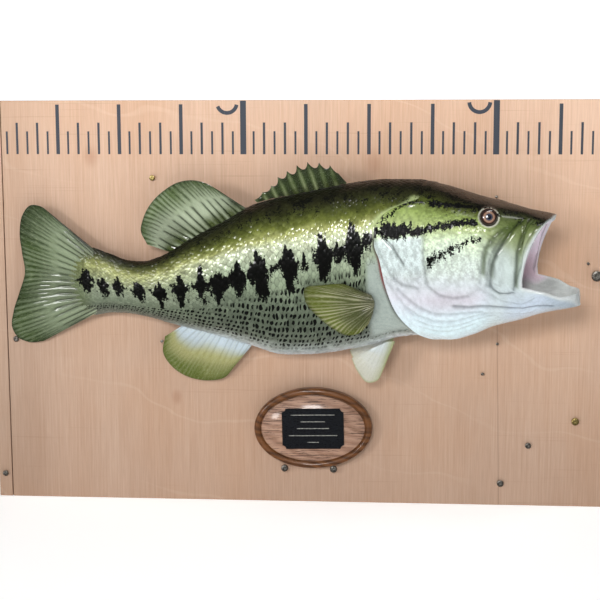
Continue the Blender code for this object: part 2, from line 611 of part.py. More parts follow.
def main():
    for old in list(bpy.data.objects):
        bpy.data.objects.remove(old, do_unlink=True)
    plywood = material("plywood", (0.55, 0.37, 0.25), 0.6)
    oak = material("oak", (0.22, 0.11, 0.05), 0.3)
    black_plate = material("black_plate", (0.01, 0.014, 0.02), 0.3)
    finishes = {
        "steel": material("screw_steel", (0.35, 0.34, 0.33), 0.4, 1.0),
        "brass": material("screw_brass", (0.6, 0.45, 0.2), 0.35, 1.0),
    }
    flesh = material("skin", (0.16, 0.2, 0.07), 0.25)
    white = material("skin_white", (0.7, 0.75, 0.72), 0.25)
    olive = material("fin_olive", (0.13, 0.17, 0.05), 0.3)
    pale = material("fin_pale", (0.55, 0.6, 0.45), 0.3)
    iris = material("eye", (0.15, 0.07, 0.03), 0.05)
    pink = material("mouth", (0.6, 0.42, 0.42), 0.3)
    make_board(plywood)
    make_fastenings(finishes)
    make_plaque(oak, black_plate)
    make_trunk(flesh)
    make_head(flesh, white, iris)
    make_tongue(pink)
    make_fins(olive, pale)


main()
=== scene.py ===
"""The looks of a largemouth bass mounted on its display board.

One painted skin carries solid scales, ray fins and glass eyes. Behind the fish stands a plywood board with ruler
marks, and below it an oval oak plaque. Sizes are in millimetres unless a docstring says otherwise.
"""

import logging
import math
from dataclasses import dataclass, field
from enum import Enum
from functools import cached_property
from typing import Callable, Sequence

import bpy
import numpy as np
from mathutils import Matrix, Vector


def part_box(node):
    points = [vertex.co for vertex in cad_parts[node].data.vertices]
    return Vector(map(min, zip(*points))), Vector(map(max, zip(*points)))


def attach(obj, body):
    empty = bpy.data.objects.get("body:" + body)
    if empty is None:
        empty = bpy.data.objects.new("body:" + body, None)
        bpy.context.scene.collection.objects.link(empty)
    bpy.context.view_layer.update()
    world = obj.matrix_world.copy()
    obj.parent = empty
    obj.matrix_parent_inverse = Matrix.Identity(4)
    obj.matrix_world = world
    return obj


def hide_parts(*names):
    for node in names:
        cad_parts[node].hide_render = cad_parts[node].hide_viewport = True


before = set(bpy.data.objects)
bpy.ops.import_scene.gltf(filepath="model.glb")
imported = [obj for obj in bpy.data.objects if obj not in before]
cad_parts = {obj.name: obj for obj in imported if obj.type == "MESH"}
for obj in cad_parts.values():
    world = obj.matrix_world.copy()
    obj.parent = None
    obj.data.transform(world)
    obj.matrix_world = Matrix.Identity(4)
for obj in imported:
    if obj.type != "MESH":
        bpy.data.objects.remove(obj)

MM = 0.001
BOARD_THICK = 12.0
Array = np.ndarray
Colour = tuple[float, float, float]
Triple = tuple[float, float, float]
Span = tuple[float, float]
Pairs = Sequence[Span]
Material = bpy.types.Material
Piece = bpy.types.Object
log = logging.getLogger("bass")


class Side(Enum):
    """The side of the fish: towards the viewer, or towards the board."""

    NEAR = 1
    FAR = -1


class Slot(Enum):
    """The record's material slots."""

    PLYWOOD = "plywood"
    OAK = "oak"
    PLATE = "black_plate"
    STEEL = "screw_steel"
    BRASS = "screw_brass"
    SKIN = "skin_olive"
    FIN = "fin_olive"
    PALE_FIN = "fin_pale"
    EYE = "eye"
    MOUTH = "mouth"


def tone(red: int, green: int, blue: int) -> Colour:
    """A chart's colour, 0 to 255, as the linear values of shaders."""
    shares = (channel / 255 for channel in (red, green, blue))
    return tuple(c / 12.92 if c < 0.04045 else ((c + 0.055) / 1.055) ** 2.4 for c in shares)


def ease(low: float, high: float, at: Array) -> Array:
    """0 below low and 1 above high, with a smooth rise between."""
    t = np.clip((np.asarray(at, float) - low) / (high - low), 0, 1)
    return t * t * (3 - 2 * t)


def within(reach: Sequence[float], at: Array) -> Array:
    """1 over a reach, rising between its first two numbers and falling between its last two."""
    return ease(*reach[:2], at) * (1 - ease(*reach[2:], at))


def bell(distance: Array, width: float = 1.0) -> Array:
    """1 at no distance, falling to nothing over about twice the width."""
    return np.exp(-((distance / width) ** 2))


def blend(first: Array, second: Array, share: Array) -> Array:
    """Colours of the first list turned towards the second by a share for each."""
    return first + (np.asarray(second) - first) * np.asarray(share)[..., None]


def centred(noise: Array) -> Array:
    """Noise from 0 to 1, moved to lie from -0.5 to 0.5."""
    return noise - 0.5


class Curve:
    """A smooth curve through a few values, by the places where they stand."""

    def __init__(self, places: Array, values: Array, slopes: Array) -> None:
        """Holds the places, values and slopes."""
        self.places, self.values, self.slopes = places, values, slopes

    def __call__(self, at: Array) -> Array:
        """The curve's values at the given places."""
        at = np.clip(np.asarray(at, float), self.places[0], self.places[-1])
        i = np.clip(np.searchsorted(self.places, at, side="right") - 1, 0, len(self.places) - 2)
        width, t = self.places[i + 1] - self.places[i], at - self.places[i]
        if self.values.ndim > 1:
            width, t = width[..., None], t[..., None]
        t = t / width
        ends = self.values[i] * (1 + 2 * t) * (1 - t) ** 2 + self.values[i + 1] * t * t * (3 - 2 * t)
        return ends + width * t * (1 - t) * (self.slopes[i] * (1 - t) - self.slopes[i + 1] * t)


class Line(Curve):
    """A curve through (station, value) pairs, without overshoot."""

    def __init__(self, *points: Span) -> None:
        """Works out the slopes at the points."""
        x, y = np.array(points, float).T
        step = np.diff(x)
        rise = np.diff(y) / step
        same = rise[:-1] * rise[1:] > 0
        near, far = 2 * step[1:] + step[:-1], step[1:] + 2 * step[:-1]
        before, after = np.where(same, rise[:-1], 1), np.where(same, rise[1:], 1)
        mean = np.where(same, (near + far) / (near / before + far / after), 0)
        super().__init__(x, y, np.concatenate(([rise[0]], mean, [rise[-1]])))


class Path(Curve):
    """A curve through points, by the share of its length."""

    def __init__(self, *points: Sequence[float]) -> None:
        """Works out each point's share and direction."""
        corners = np.array(points, float)
        steps = np.linalg.norm(np.diff(corners, axis=0), axis=1)
        shares = np.concatenate(([0], np.cumsum(steps))) / steps.sum()
        super().__init__(shares, corners, np.gradient(corners, shares, axis=0))


def distance_to(points: Array, track: Array) -> Array:
    """How far each point lies from a track of straight pieces.

    Args:
        points: (..., 2) points.
        track: (n, 2) corners of the track.

    Returns:
        One distance for each point.
    """
    best = np.full(points.shape[:-1], np.inf)
    for start, end in zip(track, track[1:]):
        along = end - start
        share = np.clip(((points - start) @ along) / (along @ along), 0, 1)
        best = np.minimum(best, np.linalg.norm(points - start - share[..., None] * along, axis=-1))
    return best


@dataclass(frozen=True)
class Mottle:
    """Smooth seeded noise from 0 to 1, for ragged edges."""

    seed: int
    cells: int = 64

    def __call__(self, x: Array, y: Array) -> Array:
        """The noise at (x, y), counted in cells."""
        table = np.random.default_rng(self.seed).random((self.cells, self.cells))
        x, y = np.broadcast_arrays(np.asarray(x, float), np.asarray(y, float))
        i, j = np.floor(x).astype(int), np.floor(y).astype(int)
        s, t = ease(0, 1, x - i), ease(0, 1, y - j)

        def corner(a: int, b: int) -> Array:
            """The table's value at a corner of each cell."""
            return table[(i + a) % self.cells, (j + b) % self.cells]

        low = corner(0, 0) * (1 - s) + corner(1, 0) * s
        high = corner(0, 1) * (1 - s) + corner(1, 1) * s
        return low * (1 - t) + high * t


@dataclass(frozen=True)
class BassForm:
    """The body's form: a straight fish, and the pose that bends and rolls it.

    The letters u, v and h stand for a station, a half width and a height. A share q runs round the near side, from
    0 at the back to 1 at the belly.
    """

    fish_x: float = 5.0
    fish_z: float = 6.5
    spine_height: float = 35.0
    spine_off_board: float = 33.0
    yaw: Triple = (6.0, 1.5, 19.5)
    roll: Triple = (4.0, 8.0, 7.0)
    tail_bend: Span = (-260.0, -120.0)
    head_bend: Span = (30.0, 170.0)
    corner: float = 281.0
    snout: float = 311.0
    chin: float = 340.0
    corner_height: float = 39.0
    lip_top: float = 115.0
    upper_lip_power: float = 0.9
    lower_lip_power: float = 0.95
    snout_taper: float = 2.6
    chin_taper: float = 2.3
    tail_rise: Span = (-292.0, -264.0)
    tail_swell: Span = (-292.0, -250.0)
    tail_end: Span = (0.12, 0.55)
    tail_middle: float = 24.0
    eye_station: float = 244.0
    eye_height: float = 119.0
    eye_sunk: float = 3.4
    eye_lean: Triple = (1.0, 1.0, 0.35)
    eye_back: float = 7.0
    back: Line = Line(
        (-250, 66), (-228, 58), (-207, 51), (-190, 50), (-170, 55.5), (-130, 79), (-93, 99), (-48, 123), (4, 136),
        (64, 148), (110, 153), (150, 153), (165, 150.8), (182, 146.6), (211, 137.3), (230, 132.3), (260, 126.4),
        (290, 119.8), (311, 115),
    )
    belly: Line = Line(
        (-250, -18.5), (-231, -15), (-216, -15), (-188, -19), (-153, -28.5), (-97, -42.5), (-60, -53), (-17, -64.5),
        (14, -63.5), (74, -53), (130, -36), (150, -33.2), (175, -34), (190, -34), (217, -27.5), (239, -17.5),
        (272, -7), (300, 3.3), (340, 12.5),
    )
    widest: Line = Line(
        (-250, 24), (-200, 18), (-130, 24), (-60, 36), (0, 42), (64, 52), (120, 62), (190, 65), (235, 60), (258, 50),
        (281, 39),
    )
    half_width: Line = Line(
        (-250, 6), (-230, 10.5), (-207, 14.5), (-170, 21), (-130, 29), (-90, 38), (-48, 46.5), (0, 53.5), (50, 58),
        (130, 60), (165, 59), (200, 55.5), (230, 50), (255, 43), (281, 36),
    )
    roundness_above: Line = Line((-250, 2), (0, 2.1), (130, 2.2), (180, 2.5), (215, 2.9), (245, 3.2), (281, 3))
    roundness_below: Line = Line((-250, 2), (130, 2.2), (281, 2.4))
    jaw_rim: Line = Line((281, 39), (296, 36.5), (307, 34.5), (316, 31), (325, 28.5), (340, 29.5))
    far_side_share: Line = Line(
        (-250, 1), (-200, 1), (-130, 0.9), (-90, 0.72), (-48, 0.6), (0, 0.54), (50, 0.52), (108, 0.58), (140, 0.7),
        (175, 0.9), (205, 1),
    )
    gill_edge: Line = Line(
        (0, 168), (0.1, 167), (0.19, 162), (0.23, 150), (0.257, 133), (0.295, 117.5), (0.347, 107), (0.413, 107.5),
        (0.473, 115), (0.565, 123), (0.665, 132.7), (0.778, 147.5), (0.851, 158), (0.9, 173), (0.93, 190), (1, 214),
    )
    gill_front: Line = Line(
        (0.19, 172), (0.33, 174.5), (0.507, 174), (0.566, 180), (0.602, 196), (0.64, 213), (0.7, 226), (0.93, 238),
    )

    def angles(self, station: Array) -> tuple[Array, Array]:
        """The body's turn and roll at a station, in radians."""
        tail, head = ease(*self.tail_bend, station), ease(*self.head_bend, station)
        yaw, roll = (low + (mid - low) * tail + (high - mid) * head for low, mid, high in (self.yaw, self.roll))
        return np.radians(yaw), np.radians(roll)

    @cached_property
    def spine(self) -> tuple[Array, Array, Array]:
        """Stations along the spine, and their places along the board and off it."""
        stations = np.arange(-420.0, 421.0)
        yaw = self.angles(stations[:-1] + 0.5)[0]
        along = np.concatenate(([0], np.cumsum(np.cos(yaw))))
        out = np.concatenate(([0], np.cumsum(np.sin(yaw))))
        return stations, along - np.interp(0, stations, along), out - np.interp(0, stations, out)

    def place(self, points: Array) -> Array:
        """Points (u, v, h) of the straight fish, posed and in metres."""
        u, v, h = np.moveaxis(np.asarray(points, float), -1, 0)
        yaw, roll = self.angles(u)
        stations, along, off = self.spine
        rise = h - self.spine_height
        out = v * np.cos(roll) + rise * np.sin(roll)
        up = rise * np.cos(roll) - v * np.sin(roll)
        x = self.fish_x + np.interp(u, stations, along) - out * np.sin(yaw)
        y = -BOARD_THICK - self.spine_off_board - np.interp(u, stations, off) - out * np.cos(yaw)
        return np.stack((x, y, self.fish_z + self.spine_height + up), axis=-1) * MM

    def last_station(self, q: Array) -> Array:
        """Where the line at share q ends at the lips."""
        q = np.asarray(q, float)
        upper = np.cos(np.pi * np.clip(q, 0, 0.5)) ** self.upper_lip_power
        lower = np.sin(np.pi * np.clip(q - 0.5, 0, 0.5)) ** self.lower_lip_power
        to_snout, to_chin = self.snout - self.corner, self.chin - self.corner
        return self.corner + np.where(q < 0.5, to_snout * upper, to_chin * lower)

    def outline(self, u: Array, q: Array) -> tuple[Array, Array]:
        """Half width and height of the body's surface at station u and share q.

        Args:
            u: Stations.
            q: Shares round the near side.

        Returns:
            The half widths and the heights.
        """
        u, q = np.broadcast_arrays(np.asarray(u, float), np.asarray(q, float))
        snout = np.clip((u - self.corner) / (self.snout - self.corner), 0, 1)
        chin = np.clip((u - self.corner) / (self.chin - self.corner), 0, 1)
        first = np.arccos(snout ** (1 / self.upper_lip_power)) / np.pi
        second = 0.5 + np.arcsin(chin ** (1 / self.lower_lip_power)) / np.pi
        front = u > self.corner
        full = self.half_width(u)
        width_above = np.where(front, full * (1 - snout**self.snout_taper) ** (1 / self.snout_taper), full)
        width_below = np.where(front, full * (1 - chin**self.chin_taper) ** (1 / self.chin_taper), full)
        rise = (self.lip_top - self.corner_height) * snout**0.5
        lip = np.where(front, self.corner_height + rise, self.widest(u))
        rim = np.where(front, self.jaw_rim(u), self.widest(u))
        above = np.pi / 2 * np.clip(q / np.maximum(first, 1e-9), 0, 1)
        below = np.pi / 2 * np.clip((q - second) / np.maximum(1 - second, 1e-9), 0, 1)
        upper, lower = 2 / self.roundness_above(u), 2 / self.roundness_below(u)
        v = np.where(q < 0.5, width_above * np.sin(above) ** upper, width_below * np.cos(below) ** lower)
        h_above = lip + (self.back(u) - lip) * np.cos(above) ** upper
        h_below = rim - (rim - self.belly(u)) * np.sin(below) ** lower
        h = np.where(q < 0.5, h_above, h_below)
        thin, low = self.tail_end
        v = np.maximum(v, 0) * (thin + (1 - thin) * ease(*self.tail_swell, u))
        return v, self.tail_middle + (h - self.tail_middle) * (low + (1 - low) * ease(*self.tail_rise, u))

    def surface(self, u: Array, q: Array, lift: Array = 0.0) -> Array:
        """Points (u, v, h) of the near side, lifted along its normal.

        Args:
            u: Stations.
            q: Shares round the near side.
            lift: Distances off the surface.

        Returns:
            The points of the straight fish.
        """
        u, q, lift = np.broadcast_arrays(*(np.asarray(values, float) for values in (u, q, lift)))
        ahead = np.minimum(u + 0.5, self.last_station(q) - 0.05)
        around = np.clip(q, 1e-3, 1 - 1e-3)

        def at(station: Array, share: Array) -> Array:
            """The surface's points at a station and share."""
            return np.stack((station, *self.outline(station, share)), axis=-1)

        lengthwise = at(ahead, around) - at(ahead - 1, around)
        normal = np.cross(lengthwise, at(u, around + 1e-3) - at(u, around - 1e-3))
        normal /= np.maximum(np.linalg.norm(normal, axis=-1, keepdims=True), 1e-12)
        return at(u, q) + normal * lift[..., None]

    def to_side(self, points: Array, side: Side | Array) -> Array:
        """Near-side points, mirrored and flattened on the far side."""
        points = np.array(points, float)
        sign = side.value if isinstance(side, Side) else side
        points[..., 1] *= np.where(sign > 0, 1, -self.far_side_share(points[..., 0]))
        return points

    def girth(self, u: Array) -> Array:
        """The length over the near side from back to belly at each station."""
        v, h = self.outline(np.asarray(u, float)[..., None], np.linspace(0, 1, 60))
        return np.hypot(np.diff(v, axis=-1), np.diff(h, axis=-1)).sum(axis=-1)

    @cached_property
    def eye_axes(self) -> tuple[Array, Array]:
        """The near eye's middle and its directions ahead, outward and up."""
        q = np.linspace(0.02, 0.5, 400)
        nearest = q[np.argmin(np.abs(self.outline(self.eye_station, q)[1] - self.eye_height))]
        on_skin = self.surface(self.eye_station, nearest)
        out = (self.surface(self.eye_station, nearest, 1.0) - on_skin) * self.eye_lean
        out /= np.linalg.norm(out)
        ahead = np.cross(out, (0, 0, 1))
        ahead /= np.linalg.norm(ahead)
        return on_skin - out * self.eye_sunk, np.array((ahead, out, np.cross(ahead, out)))

    def from_eye(self, u: Array, q: Array) -> Array:
        """The skin's distance from the eye's axis, counting more behind it."""
        middle, axes = self.eye_axes
        off = np.stack(np.broadcast_arrays(u, *self.outline(u, q)), axis=-1) - middle
        out = off @ axes[1]
        aside = np.linalg.norm(off - out[..., None] * axes[1], axis=-1)
        return np.hypot(aside, 2 * np.maximum(0, -self.eye_back - out))

    def beside_board(self, u: float, h: float) -> Triple:
        """The point at (u, h) halfway between the far flank and the board."""
        half, height = self.outline(u, np.linspace(1, 0, 101))
        flank = np.interp(h, height, half) * self.far_side_share(u)
        roll = float(self.angles(u)[1])
        stations, _, off = self.spine
        room = self.spine_off_board + float(np.interp(u, stations, off))
        room += (h - self.spine_height) * math.sin(roll)
        return u, -(flank + room / math.cos(roll)) / 2, h


FORM = BassForm()


def outward(points: Array, faces: Array) -> Array:
    """A closed shell's faces, turned round if they face inwards."""
    a, b, c, d = (points[faces[:, k]] for k in range(4))
    volume = np.einsum("ij,ij->", a, np.cross(b, c)) + np.einsum("ij,ij->", a, np.cross(c, d))
    return faces[:, ::-1] if volume < 0 else faces


def in_scene(name: str, data: bpy.types.ID) -> Piece:
    """A new object in the scene."""
    made = bpy.data.objects.new(name, data)
    bpy.context.scene.collection.objects.link(made)
    return made


@dataclass
class Shell:
    """Points, faces and painted values of one piece, before it becomes an object.

    A three-sided face has its last corner written twice.
    """

    points: Array
    faces: Array
    values: dict[str, Array] = field(default_factory=dict)
    patch: Array | None = None
    flat_ends: bool = False
    sharp_angle: float = 60.0

    def object(self, name: str, finish: Material, slot: Slot, *replaces: str) -> None:
        """Makes the shell an object that rides on the mount.

        Args:
            name: The piece's name.
            finish: Its material.
            slot: The record's slot for its finish.
            replaces: The solids that it stands for.
        """
        mesh = bpy.data.meshes.new(name)
        faces = outward(self.points, self.faces).tolist()
        sides = [[k for k, after in zip(face, (*face[1:], -1)) if k != after] for face in faces]
        mesh.from_pydata(self.points.tolist(), [], sides)
        for key, value in self.values.items():
            value = np.asarray(value, np.float32)
            coloured = value.ndim == 2
            made = mesh.attributes.new(key, "FLOAT_COLOR" if coloured else "FLOAT", "POINT")
            flat = np.concatenate((value, np.ones((len(value), 1), np.float32)), axis=1) if coloured else value
            made.data.foreach_set("color" if coloured else "value", flat.ravel())
        if self.patch is not None:
            corners = np.empty(len(mesh.loops), np.int32)
            mesh.loops.foreach_get("vertex_index", corners)
            layer = mesh.uv_layers.new(name="OFBake")
            layer.data.foreach_set("uv", self.patch[corners].astype(np.float32).ravel())
        mesh.shade_smooth()
        mesh.set_sharp_from_angle(angle=math.radians(self.sharp_angle))
        if self.flat_ends:
            mesh.polygons.foreach_set("use_smooth", [len(face.vertices) > 3 for face in mesh.polygons])
        mesh.materials.append(finish)
        made = in_scene(name, mesh)
        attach(made, "root")
        if replaces:
            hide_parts(*replaces)
        log.info("%s: %d faces", name, len(mesh.polygons))


def full_turn(count: int) -> Array:
    """Angles spread evenly round a circle, in radians."""
    return np.linspace(0, 2 * np.pi, count, endpoint=False)


def grid_faces(rows: int, columns: int, around: bool = False) -> Array:
    """Faces over a grid of points, closed round if asked."""
    i = np.arange(rows - 1)[:, None]
    j = np.arange(columns if around else columns - 1)[None, :]
    k = (j + 1) % columns
    here, after = i * columns, (i + 1) * columns
    return np.stack([here + j, here + k, after + k, after + j], -1).reshape(-1, 4)


def cap_faces(ring: Array, middle: int) -> Array:
    """Faces from a ring of points to its middle."""
    tip = np.full(len(ring), middle)
    return np.stack([ring, np.roll(ring, -1), tip, tip], -1)


def tube(rings: Array) -> Shell:
    """A closed shell through rings of equally many points."""
    rows, columns = rings.shape[:2]
    middles = (rings[0].mean(axis=0)[None], rings[-1].mean(axis=0)[None])
    points = np.concatenate((rings.reshape(-1, 3), *middles))
    ring = np.arange(columns)
    ends = (cap_faces(ring[::-1], rows * columns), cap_faces(ring + (rows - 1) * columns, rows * columns + 1))
    return Shell(points, np.concatenate((grid_faces(rows, columns, around=True), *ends)))


def with_ends(rows: Array) -> Array:
    """A tube's values by row as one list, then its end points': 0, or the end rows' colours."""
    flat = rows.reshape(-1, *rows.shape[2:])
    first, last = (flat[:1], flat[-1:]) if flat.ndim == 2 else (np.zeros(1), np.zeros(1))
    return np.concatenate((flat, first, last))


def operator(operation: str, reflected: bool = False) -> Callable[["Wire", "Wire | float"], "Wire"]:
    """A method for one of Python's operators, which adds a Math node."""

    def method(this: "Wire", other: "Wire | float") -> "Wire":
        """Adds the node."""
        return this.worked(operation, *((other, this) if reflected else (this, other)))

    return method


class Wire:
    """A socket's value, on which Python's operators add Math nodes."""

    __add__, __radd__ = operator("ADD"), operator("ADD", reflected=True)
    __sub__, __rsub__ = operator("SUBTRACT"), operator("SUBTRACT", reflected=True)
    __mul__, __rmul__ = operator("MULTIPLY"), operator("MULTIPLY", reflected=True)
    __truediv__, __rtruediv__ = operator("DIVIDE"), operator("DIVIDE", reflected=True)
    __pow__, __rpow__ = operator("POWER"), operator("POWER", reflected=True)

    def __init__(self, nodes: "Nodes", socket: bpy.types.NodeSocket) -> None:
        """Holds the socket and the tree that it belongs to."""
        self.nodes, self.socket = nodes, socket

    def worked(self, operation: str, *values: "Wire | float") -> "Wire":
        """One Math node's result over the values."""
        return self.nodes.add("Math", {"operation": operation}, *(values or (self,)))

    def size(self) -> "Wire":
        """This value without its sign."""
        return self.worked("ABSOLUTE")

    def sine(self) -> "Wire":
        """The sine of this value."""
        return self.worked("SINE")

    def whole(self) -> "Wire":
        """The whole number below this value."""
        return self.worked("FLOOR")

    def rest(self) -> "Wire":
        """What this value has over its whole number."""
        return self.worked("FRACT")

    def between(self, low: float, high: float) -> "Wire":
        """0 below low and 1 above high, with a smooth rise between."""
        settings = {"interpolation_type": "SMOOTHSTEP"}
        return self.nodes.add("MapRange", settings, self, low, high, 0.0, 1.0)


class Nodes:
    """One material's node tree, and the ways in which finishes add to it."""

    def __init__(self, name: str) -> None:
        """Starts the material with its Principled shader."""
        self.material = bpy.data.materials.new(name)
        self.material.use_nodes = True
        self.tree = self.material.node_tree
        self.shader = self.tree.nodes["Principled BSDF"]

    def add(self, kind: str, settings: dict[str, object], *inputs: object, out: int = 0, **named: object) -> Wire:
        """Adds a node.

        Args:
            kind: Its type, after ShaderNode.
            settings: Its properties, and a ramp's (place, colour) pairs under "stops".
            inputs: Its first sockets' values or links, None to leave one alone.
            out: The output's number.
            named: Values or links by socket, with _ for a space.

        Returns:
            The chosen output.
        """
        node = self.tree.nodes.new(f"ShaderNode{kind}")
        for key, value in settings.items():
            if key == "stops":
                elements = node.color_ramp.elements
                while len(elements) < len(value):
                    elements.new(1.0)
                for element, (place, colour) in zip(elements, value):
                    element.position, element.color = place, (*colour, 1)
            else:
                setattr(node, key, value)
        for socket, value in zip(node.inputs, inputs):
            self.feed(socket, value)
        self.feed_named(node, named)
        return Wire(self, node.outputs[out])

    def feed(self, socket: bpy.types.NodeSocket, value: object) -> None:
        """Links or sets one socket."""
        if isinstance(value, Wire):
            self.tree.links.new(value.socket, socket)
        elif value is not None:
            socket.default_value = (*value, 1) if socket.type == "RGBA" and len(value) == 3 else value

    def feed_named(self, node: bpy.types.Node, named: dict[str, object]) -> None:
        """Links or sets a node's sockets by name, with _ for a space."""
        for key, value in named.items():
            self.feed(node.inputs[key.replace("_", " ")], value)

    def value(self, name: str) -> Wire:
        """A number painted on the mesh."""
        return self.add("Attribute", {"attribute_name": name}, out=2)

    def paint(self) -> Wire:
        """The colour painted on the mesh."""
        return self.add("Attribute", {"attribute_name": "paint"})

    def axes(self, vector: Wire) -> list[Wire]:
        """A vector's three numbers."""
        first = self.add("SeparateXYZ", {}, vector)
        return [first, *(Wire(self, first.socket.node.outputs[k]) for k in (1, 2))]

    def place(self, stretch: Triple = (1.0, 1.0, 1.0)) -> Wire:
        """The point being shaded, in metres, stretched along each axis."""
        spot = self.add("TexCoord", {}, out=3)
        return self.add("VectorMath", {"operation": "MULTIPLY"}, spot, stretch)

    def noise(self, vector: Wire, scale: float, detail: float = 3.0, roughness: float = 0.55) -> Wire:
        """Noise from 0 to 1 at a vector."""
        return self.add("TexNoise", {}, Vector=vector, Scale=scale, Detail=detail, Roughness=roughness)

    def mix(self, share: Wire | float, first: Wire | Colour, second: Wire | Colour) -> Wire:
        """Two colours mixed by a share."""
        node = self.add("Mix", {"data_type": "RGBA"}, out=2).socket.node
        for k, value in ((0, share), (6, first), (7, second)):
            self.feed(node.inputs[k], value)
        return Wire(self, node.outputs[2])

    def shade(self, colour: Wire, factor: Wire) -> Wire:
        """A colour made lighter or darker by a number."""
        return self.add("VectorMath", {"operation": "SCALE"}, colour, Scale=factor)

    def bump(self, height: Wire, distance: float, strength: float = 1.0) -> Wire:
        """A normal that follows a height, of a distance in metres."""
        return self.add("Bump", {}, Strength=strength, Distance=distance, Height=height)

    def finish(self, **sockets: object) -> Material:
        """Feeds the Principled shader's sockets by name."""
        self.feed_named(self.shader, sockets)
        return self.material


@dataclass(frozen=True)
class Varnish:
    """Clear varnish: its strength, its roughness and how it bends light."""

    strength: float
    roughness: float
    bends: float = 1.42
    under: float = 0.12

    def sockets(self) -> dict[str, float]:
        """The coat's constant sockets, by name."""
        return {"Specular_IOR_Level": self.under, "Coat_IOR": self.bends, "Coat_Roughness": self.roughness}


@dataclass(frozen=True)
class Pattern:
    """The paint that hide and scales share: near-black marks with peppered edges over a ground."""

    dark: Colour = tone(9, 10, 8)
    speck: float = 560.0
    speck_reach: float = 1.35
    blot: float = 170.0
    blot_reach: float = 0.8
    blot_stretch: Triple = (1.4, 1.0, 0.6)
    edge: Span = (0.44, 0.64)
    varnish_lost: float = 0.5

    def colour(self, nodes: Nodes) -> Wire:
        """The ground with its marks."""
        speck = nodes.noise(nodes.place(), self.speck, 2.0)
        blot = nodes.noise(nodes.place(self.blot_stretch), self.blot, 2.0)
        ragged = nodes.value("mark") + (speck - 0.5) * self.speck_reach + (blot - 0.5) * self.blot_reach
        return nodes.mix(ragged.between(*self.edge), nodes.paint(), self.dark)

    def varnish(self, nodes: Nodes) -> Wire:
        """The share of varnish left on dull paint and marks."""
        return (1 - nodes.value("dull")) * (1 - self.varnish_lost * nodes.value("mark"))


@dataclass(frozen=True)
class Hide:
    """The varnished hide, with pores and small cheek scales, and painted light that makes the mouth's lining glow."""

    name: str = "painted_hide"
    pattern: Pattern = Pattern()
    varnish: Varnish = Varnish(0.7, 0.08)
    fleck: float = 700.0
    fleck_tone: float = 0.32
    cheek_scale: float = 420.0
    cheek_tone: Span = (0.22, 0.5)
    cheek_wear: float = 0.5
    swell: float = 45.0
    roughness: float = 0.22
    relief: float = 0.0005

    def make(self) -> Material:
        """Builds the material."""
        nodes = Nodes(self.name)
        here = nodes.place()
        fleck = nodes.noise(here, self.fleck)
        cells = nodes.add("TexVoronoi", {}, Vector=here, Scale=self.cheek_scale)
        cheek = nodes.value("cheek")
        swell = nodes.noise(here, self.swell)
        light, dark = self.cheek_tone
        tone_shift = 1 - self.fleck_tone / 2 + self.fleck_tone * fleck + cheek * (light - dark * cells)
        height = fleck * 0.12 + cells * cheek * -1.2 + swell * 0.5
        # Emission is painted light: the glow values make the mouth's lining glow in place of light reaching into it.
        return nodes.finish(
            Base_Color=nodes.shade(self.pattern.colour(nodes), tone_shift), Roughness=self.roughness + 0.12 * fleck,
            Metallic=nodes.value("shine"),
            Coat_Weight=self.varnish.strength * (1 - self.cheek_wear * cheek) * self.pattern.varnish(nodes),
            Emission_Color=nodes.shade(nodes.paint(), nodes.value("glow")), Emission_Strength=1.0,
            Normal=nodes.bump(height, self.relief), **self.varnish.sockets(),
        )


@dataclass(frozen=True)
class ScaleCoat:
    """The same paint over scales with dark spots and growth rings."""

    name: str = "painted_scales"
    pattern: Pattern = Pattern()
    varnish: Varnish = Varnish(0.9, 0.04)
    fleck: float = 900.0
    cloud: float = 210.0
    cloud_stretch: Triple = (1.0, 1.0, 1.6)
    net: Span = (0.62, 1.0)
    growth_rings: float = 26.0
    dot_half: Span = (0.32, 0.36)
    dot_slant: float = 0.4
    dot_stagger: float = 0.37
    dot_wave: Span = (1.4, 0.9)
    dot_edge: Span = (0.75, 1.25)
    dot_colour: Colour = tone(10, 11, 9)
    roughness: float = 0.24
    relief: float = 0.0002

    def make(self) -> Material:
        """Builds the material."""
        nodes = Nodes(self.name)
        rim, fleck = nodes.value("rim"), nodes.noise(nodes.place(), self.fleck)
        net = rim.between(*self.net) * nodes.value("net")
        cloud = nodes.noise(nodes.place(self.cloud_stretch), self.cloud, 2.0)
        colour = nodes.shade(self.pattern.colour(nodes), 0.6 + 0.3 * fleck + 0.56 * cloud - net)
        rings = (rim * self.growth_rings).sine()
        return nodes.finish(
            Base_Color=nodes.mix(self.dots(nodes, fleck), colour, self.dot_colour),
            Roughness=self.roughness + 0.1 * fleck, Metallic=nodes.value("shine"),
            Coat_Weight=self.varnish.strength * self.pattern.varnish(nodes),
            Normal=nodes.bump(rings * 0.1 + fleck * 0.3, self.relief), **self.varnish.sockets(),
        )

    def dots(self, nodes: Nodes, fleck: Wire) -> Wire:
        """How dark the small slanted dots are, in wavy rows along the flank."""
        wave = nodes.noise(nodes.place(), 60.0, 2.0) - 0.5
        across = nodes.value("dot_row") + wave * self.dot_wave[1]
        row = across.whole()
        along = nodes.value("dot_along") + row * self.dot_stagger + wave * self.dot_wave[0]
        where = nodes.add("CombineXYZ", {}, along.whole(), row, 0.5)
        chance = nodes.add("TexWhiteNoise", {}, Vector=where)
        y = across.rest() - 0.5
        x = along.rest() - 0.5 + (chance - 0.5) * 0.5 + y * self.dot_slant
        wide, high = x / self.dot_half[0], y / self.dot_half[1]
        off = (wide * wide + high * high) * (1.7 - chance) + (fleck - 0.5) * 1.1
        return (1 - off.between(*self.dot_edge)) * nodes.value("spot")


